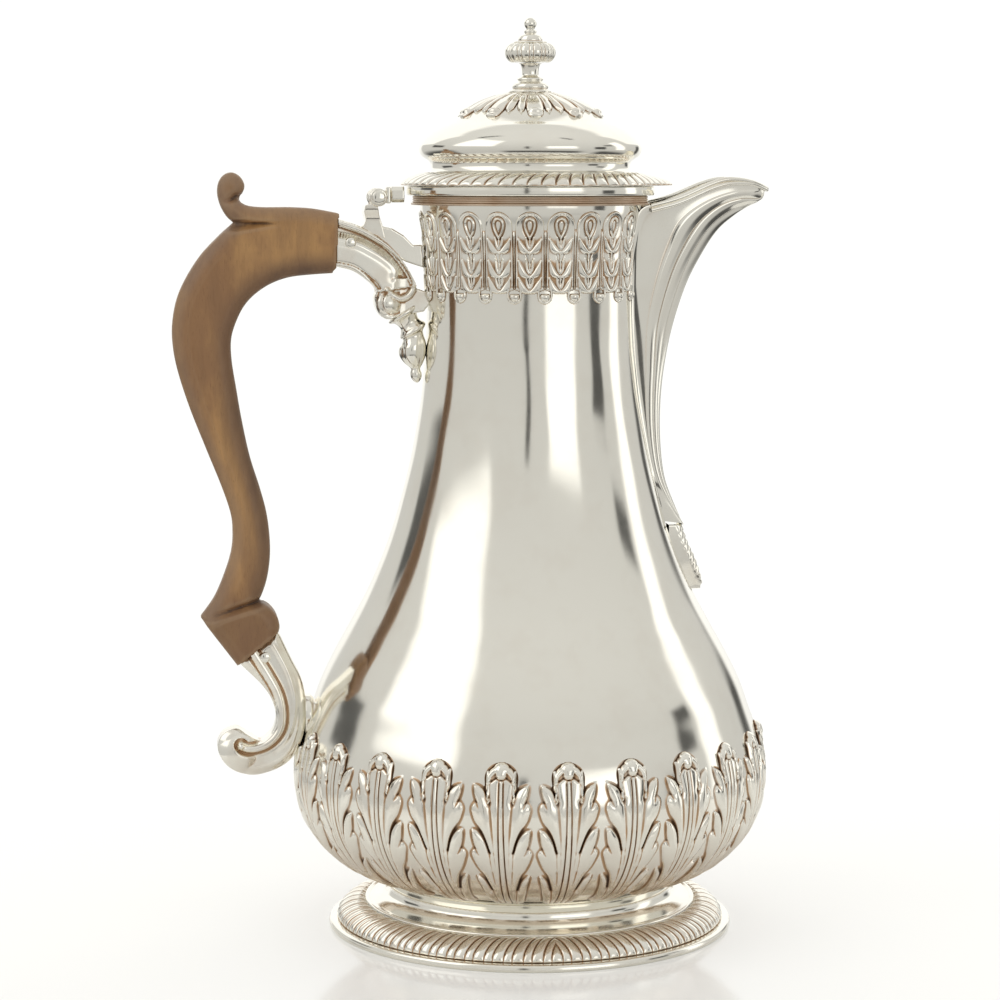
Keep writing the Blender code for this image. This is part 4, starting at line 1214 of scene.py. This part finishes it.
def make_hinge():
    low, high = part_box("hinge_pin")
    x, z = ((low.x + high.x) / 2 - AXIS.x) / MM, (low.z + high.z) / 2 / MM
    bore = 1.4                            # the knuckles' bore, round the pin
    foot = np.array([(-56.2, 234.2), (-48.6, 231.6), (-49.7, 236.2), (-50.7, 239.2),
                     (-51.1, 241.6), (-52.0, 243.4), (-55.3, 242.6), (-55.7, 240.4),
                     (-55.1, 237.8)])

    def bracket(px, y, pz):
        away, off = np.hypot(px - x, pz - z), np.abs(y)
        post = np.maximum(-depth_in(px, pz, foot), off - (4.5 + 1.7 * ramp(pz, 237.5, 242.0)))
        cheek = np.maximum(away - 2.75, np.abs(off - 4.9) - 2.0)
        collar = np.maximum(away - 2.95, np.abs(off - 6.3) - 0.35)
        gap = np.maximum(away - 3.1, off - 2.65)
        return largest(smallest(post, cheek, collar), -gap, -(away - bore))

    sculpt("hinge_post", bracket, (-58.0, -7.2, 231.0), (-46.8, 7.2, 248.3), 0.25, "pot",
           "hinge_bracket")
    disc("hinge_pin_round", (x, 0.0, z), 1.2, 7.5, "pot", "hinge_pin", dome=0.1)
    for where, side in (("near", -1), ("far", 1)):
        disc(f"hinge_cap_{where}", (x, side * 7.55, z), 2.2, 0.4, "pot", "hinge_pin", dome=0.3)

    def arm(px, y, pz):
        away, off = np.hypot(px - x, pz - z), np.abs(y)
        barrel = np.maximum(away - 2.5, off - 2.35)
        neck = largest(np.abs(px + 47.6) - 3.0, np.abs(pz - 245.6) - 1.7, off - 2.4)
        ring = largest(np.abs(px + 47.5) - 0.75, np.abs(pz - 245.8) - 2.7, off - 3.4)
        chamfer = (off + np.abs(pz - 246.0)) * 0.7071 - 4.0
        block = largest(np.abs(px + 44.4) - 2.1, np.abs(pz - 246.0) - 2.6, off - 4.2, chamfer)
        return np.maximum(smallest(barrel, neck, ring, block), -(away - bore))

    sculpt("hinge_arm", arm, (-54.0, -4.5, 242.4), (-42.0, 4.5, 249.0), 0.22, "lid",
           "lid_hinge_arm")


# ------------------------------------------------------------------ the studio

CAMERA_TURN = math.radians(-8.0)
CAMERA_AWAY = 0.968
CAMERA_HEIGHT = 0.2531
CAMERA_PAN = math.radians(0.5927)
CAMERA_TILT = math.radians(-6.437)
LENS, SENSOR = 104.4, 36.0

FLOOR_GLOW = 0.10                         # the floor's own light, as the silver sees it
FLOOR_LIFT = 0.14                         # what the floor has on top of it as the camera sees it
BACKGROUND = 1.05                         # how bright the studio behind the vessel looks
BACKDROP_LIGHT = 1.15
BOX_LIGHT = 1.3
GAP_LIGHT = 0.15                          # how much of its surroundings' light a gap still has
# Soft boxes and dark gaps in the tent, as left, right, low and high angles and the softness of
# their edges, all in degrees.
SOFT_BOXES = [(-92, -36, 14, 62, 7), (16, 51, -6, 19, 4), (98, 116, -12, 34, 4)]
DARK_GAPS = [
    (-5, -1, -8, 17, 1.0), (-6.5, 0, 0, 3, 0.7), (70, 84, -10, 9, 1.5), (84, 96, 14, 21, 2.0),
    (-122, -102, 6, 17, 2.0), (68, 76, 60, 70, 2.0), (-104, -94, 60, 74, 2.0),
    (140, 150, -20, 6, 3.0), (-150, -90, -50, -14, 8.0), (-30, 60, -60, -28, 8.0),
    (80, 130, -50, -24, 8.0),
]


def make_camera():
    data = bpy.data.cameras.new("camera")
    data.lens = LENS
    data.sensor_width = SENSOR
    data.clip_start = 0.05
    data.clip_end = 20.0
    camera = bpy.data.objects.new("camera", data)
    bpy.context.scene.collection.objects.link(camera)
    camera.location = (AXIS.x + CAMERA_AWAY * math.sin(CAMERA_TURN),
                       -CAMERA_AWAY * math.cos(CAMERA_TURN), CAMERA_HEIGHT)
    camera.rotation_euler = (math.radians(90.0) + CAMERA_TILT, 0.0, CAMERA_TURN + CAMERA_PAN)
    bpy.context.scene.camera = camera


def make_floor():
    """A round white table top with a soft sheen, and a little light of its own."""
    mesh = bpy.data.meshes.new("floor")
    edge = turns(96)
    mesh.from_pydata([(TABLE * math.cos(t), TABLE * math.sin(t), 0.0) for t in edge], [],
                     [tuple(range(len(edge)))])
    material = bpy.data.materials.new("pale_floor")
    n = Nodes(material)
    seen = n.add("ShaderNodeLightPath")
    glow = n.math("MULTIPLY_ADD", seen, FLOOR_LIFT, FLOOR_GLOW)
    shader = n.add("ShaderNodeBsdfPrincipled", Base_Color=(0.80, 0.795, 0.775, 1.0),
                   Roughness=0.10, Emission_Color=(1.0, 1.0, 1.0, 1.0), Emission_Strength=glow)
    n.add("ShaderNodeOutputMaterial", shader)
    mesh.materials.append(material)
    floor = bpy.data.objects.new("floor", mesh)
    floor.location = (AXIS.x, AXIS.y, 0.0)
    bpy.context.scene.collection.objects.link(floor)


def make_world():
    """A pale tent with soft boxes and dark gaps. Angles are seen from the vessel: across from
    -Y towards +X, and up from level."""
    world = bpy.data.worlds.new("studio")
    bpy.context.scene.world = world
    n = Nodes(world)
    x, y, z = (n.add("ShaderNodeSeparateXYZ", n.add("ShaderNodeTexCoord"), output=k)
               for k in range(3))
    across = n.math("DEGREES", n.math("ARCTAN2", x, n.times(y, -1.0)))
    across = n.math("SUBTRACT", across, math.degrees(CAMERA_TURN))
    up = n.math("DEGREES", n.math("ARCSINE", z))

    def window(left, right, low, high, soft):
        sides = n.times(n.range(across, left - soft, left + soft),
                        n.range(across, right + soft, right - soft))
        ends = n.times(n.range(up, low - soft, low + soft),
                       n.range(up, high + soft, high - soft))
        return n.times(sides, ends)

    light = n.range(up, -60.0, 70.0, 0.50, 0.76, kind="LINEAR")
    side = n.range(up, 6.0, 22.0, 150.0, 124.0)
    behind = n.range(n.math("SUBTRACT", n.math("ABSOLUTE", across), side), -6.0, 6.0)
    behind = n.times(behind, n.range(up, 46.0, 54.0, 1.0, 0.54))
    behind = n.times(behind, n.range(up, -30.0, 10.0, 0.55, 1.0))
    light = n.math("MAXIMUM", light, n.times(behind, BACKDROP_LIGHT))
    for box in SOFT_BOXES:
        light = n.math("MAXIMUM", light, n.times(window(*box), BOX_LIGHT))
    for gap in DARK_GAPS:
        light = n.times(light, n.range(window(*gap), 0.0, 1.0, 1.0, GAP_LIGHT, kind="LINEAR"))
    seen = n.add("ShaderNodeLightPath")
    light = n.math("ADD", n.times(light, n.math("SUBTRACT", 1.0, seen)),
                   n.times(seen, BACKGROUND))
    n.add("ShaderNodeOutputWorld", n.add("ShaderNodeBackground", (1.0, 0.995, 0.965, 1.0), light))


make_camera()
make_floor()
make_world()
bpy.context.scene.view_settings.view_transform = "Standard"

make_body()
make_leaves()
make_neck_band()
make_rims()
make_foot()
make_lid()
make_rosette()
make_finial()
make_spout()
make_spout_drop()
make_handle()
make_upper_socket()
make_socket_drop()
make_lower_socket()
make_pins()
make_hinge()
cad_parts["finial_nut"].material_slots[0].material = plain_silver
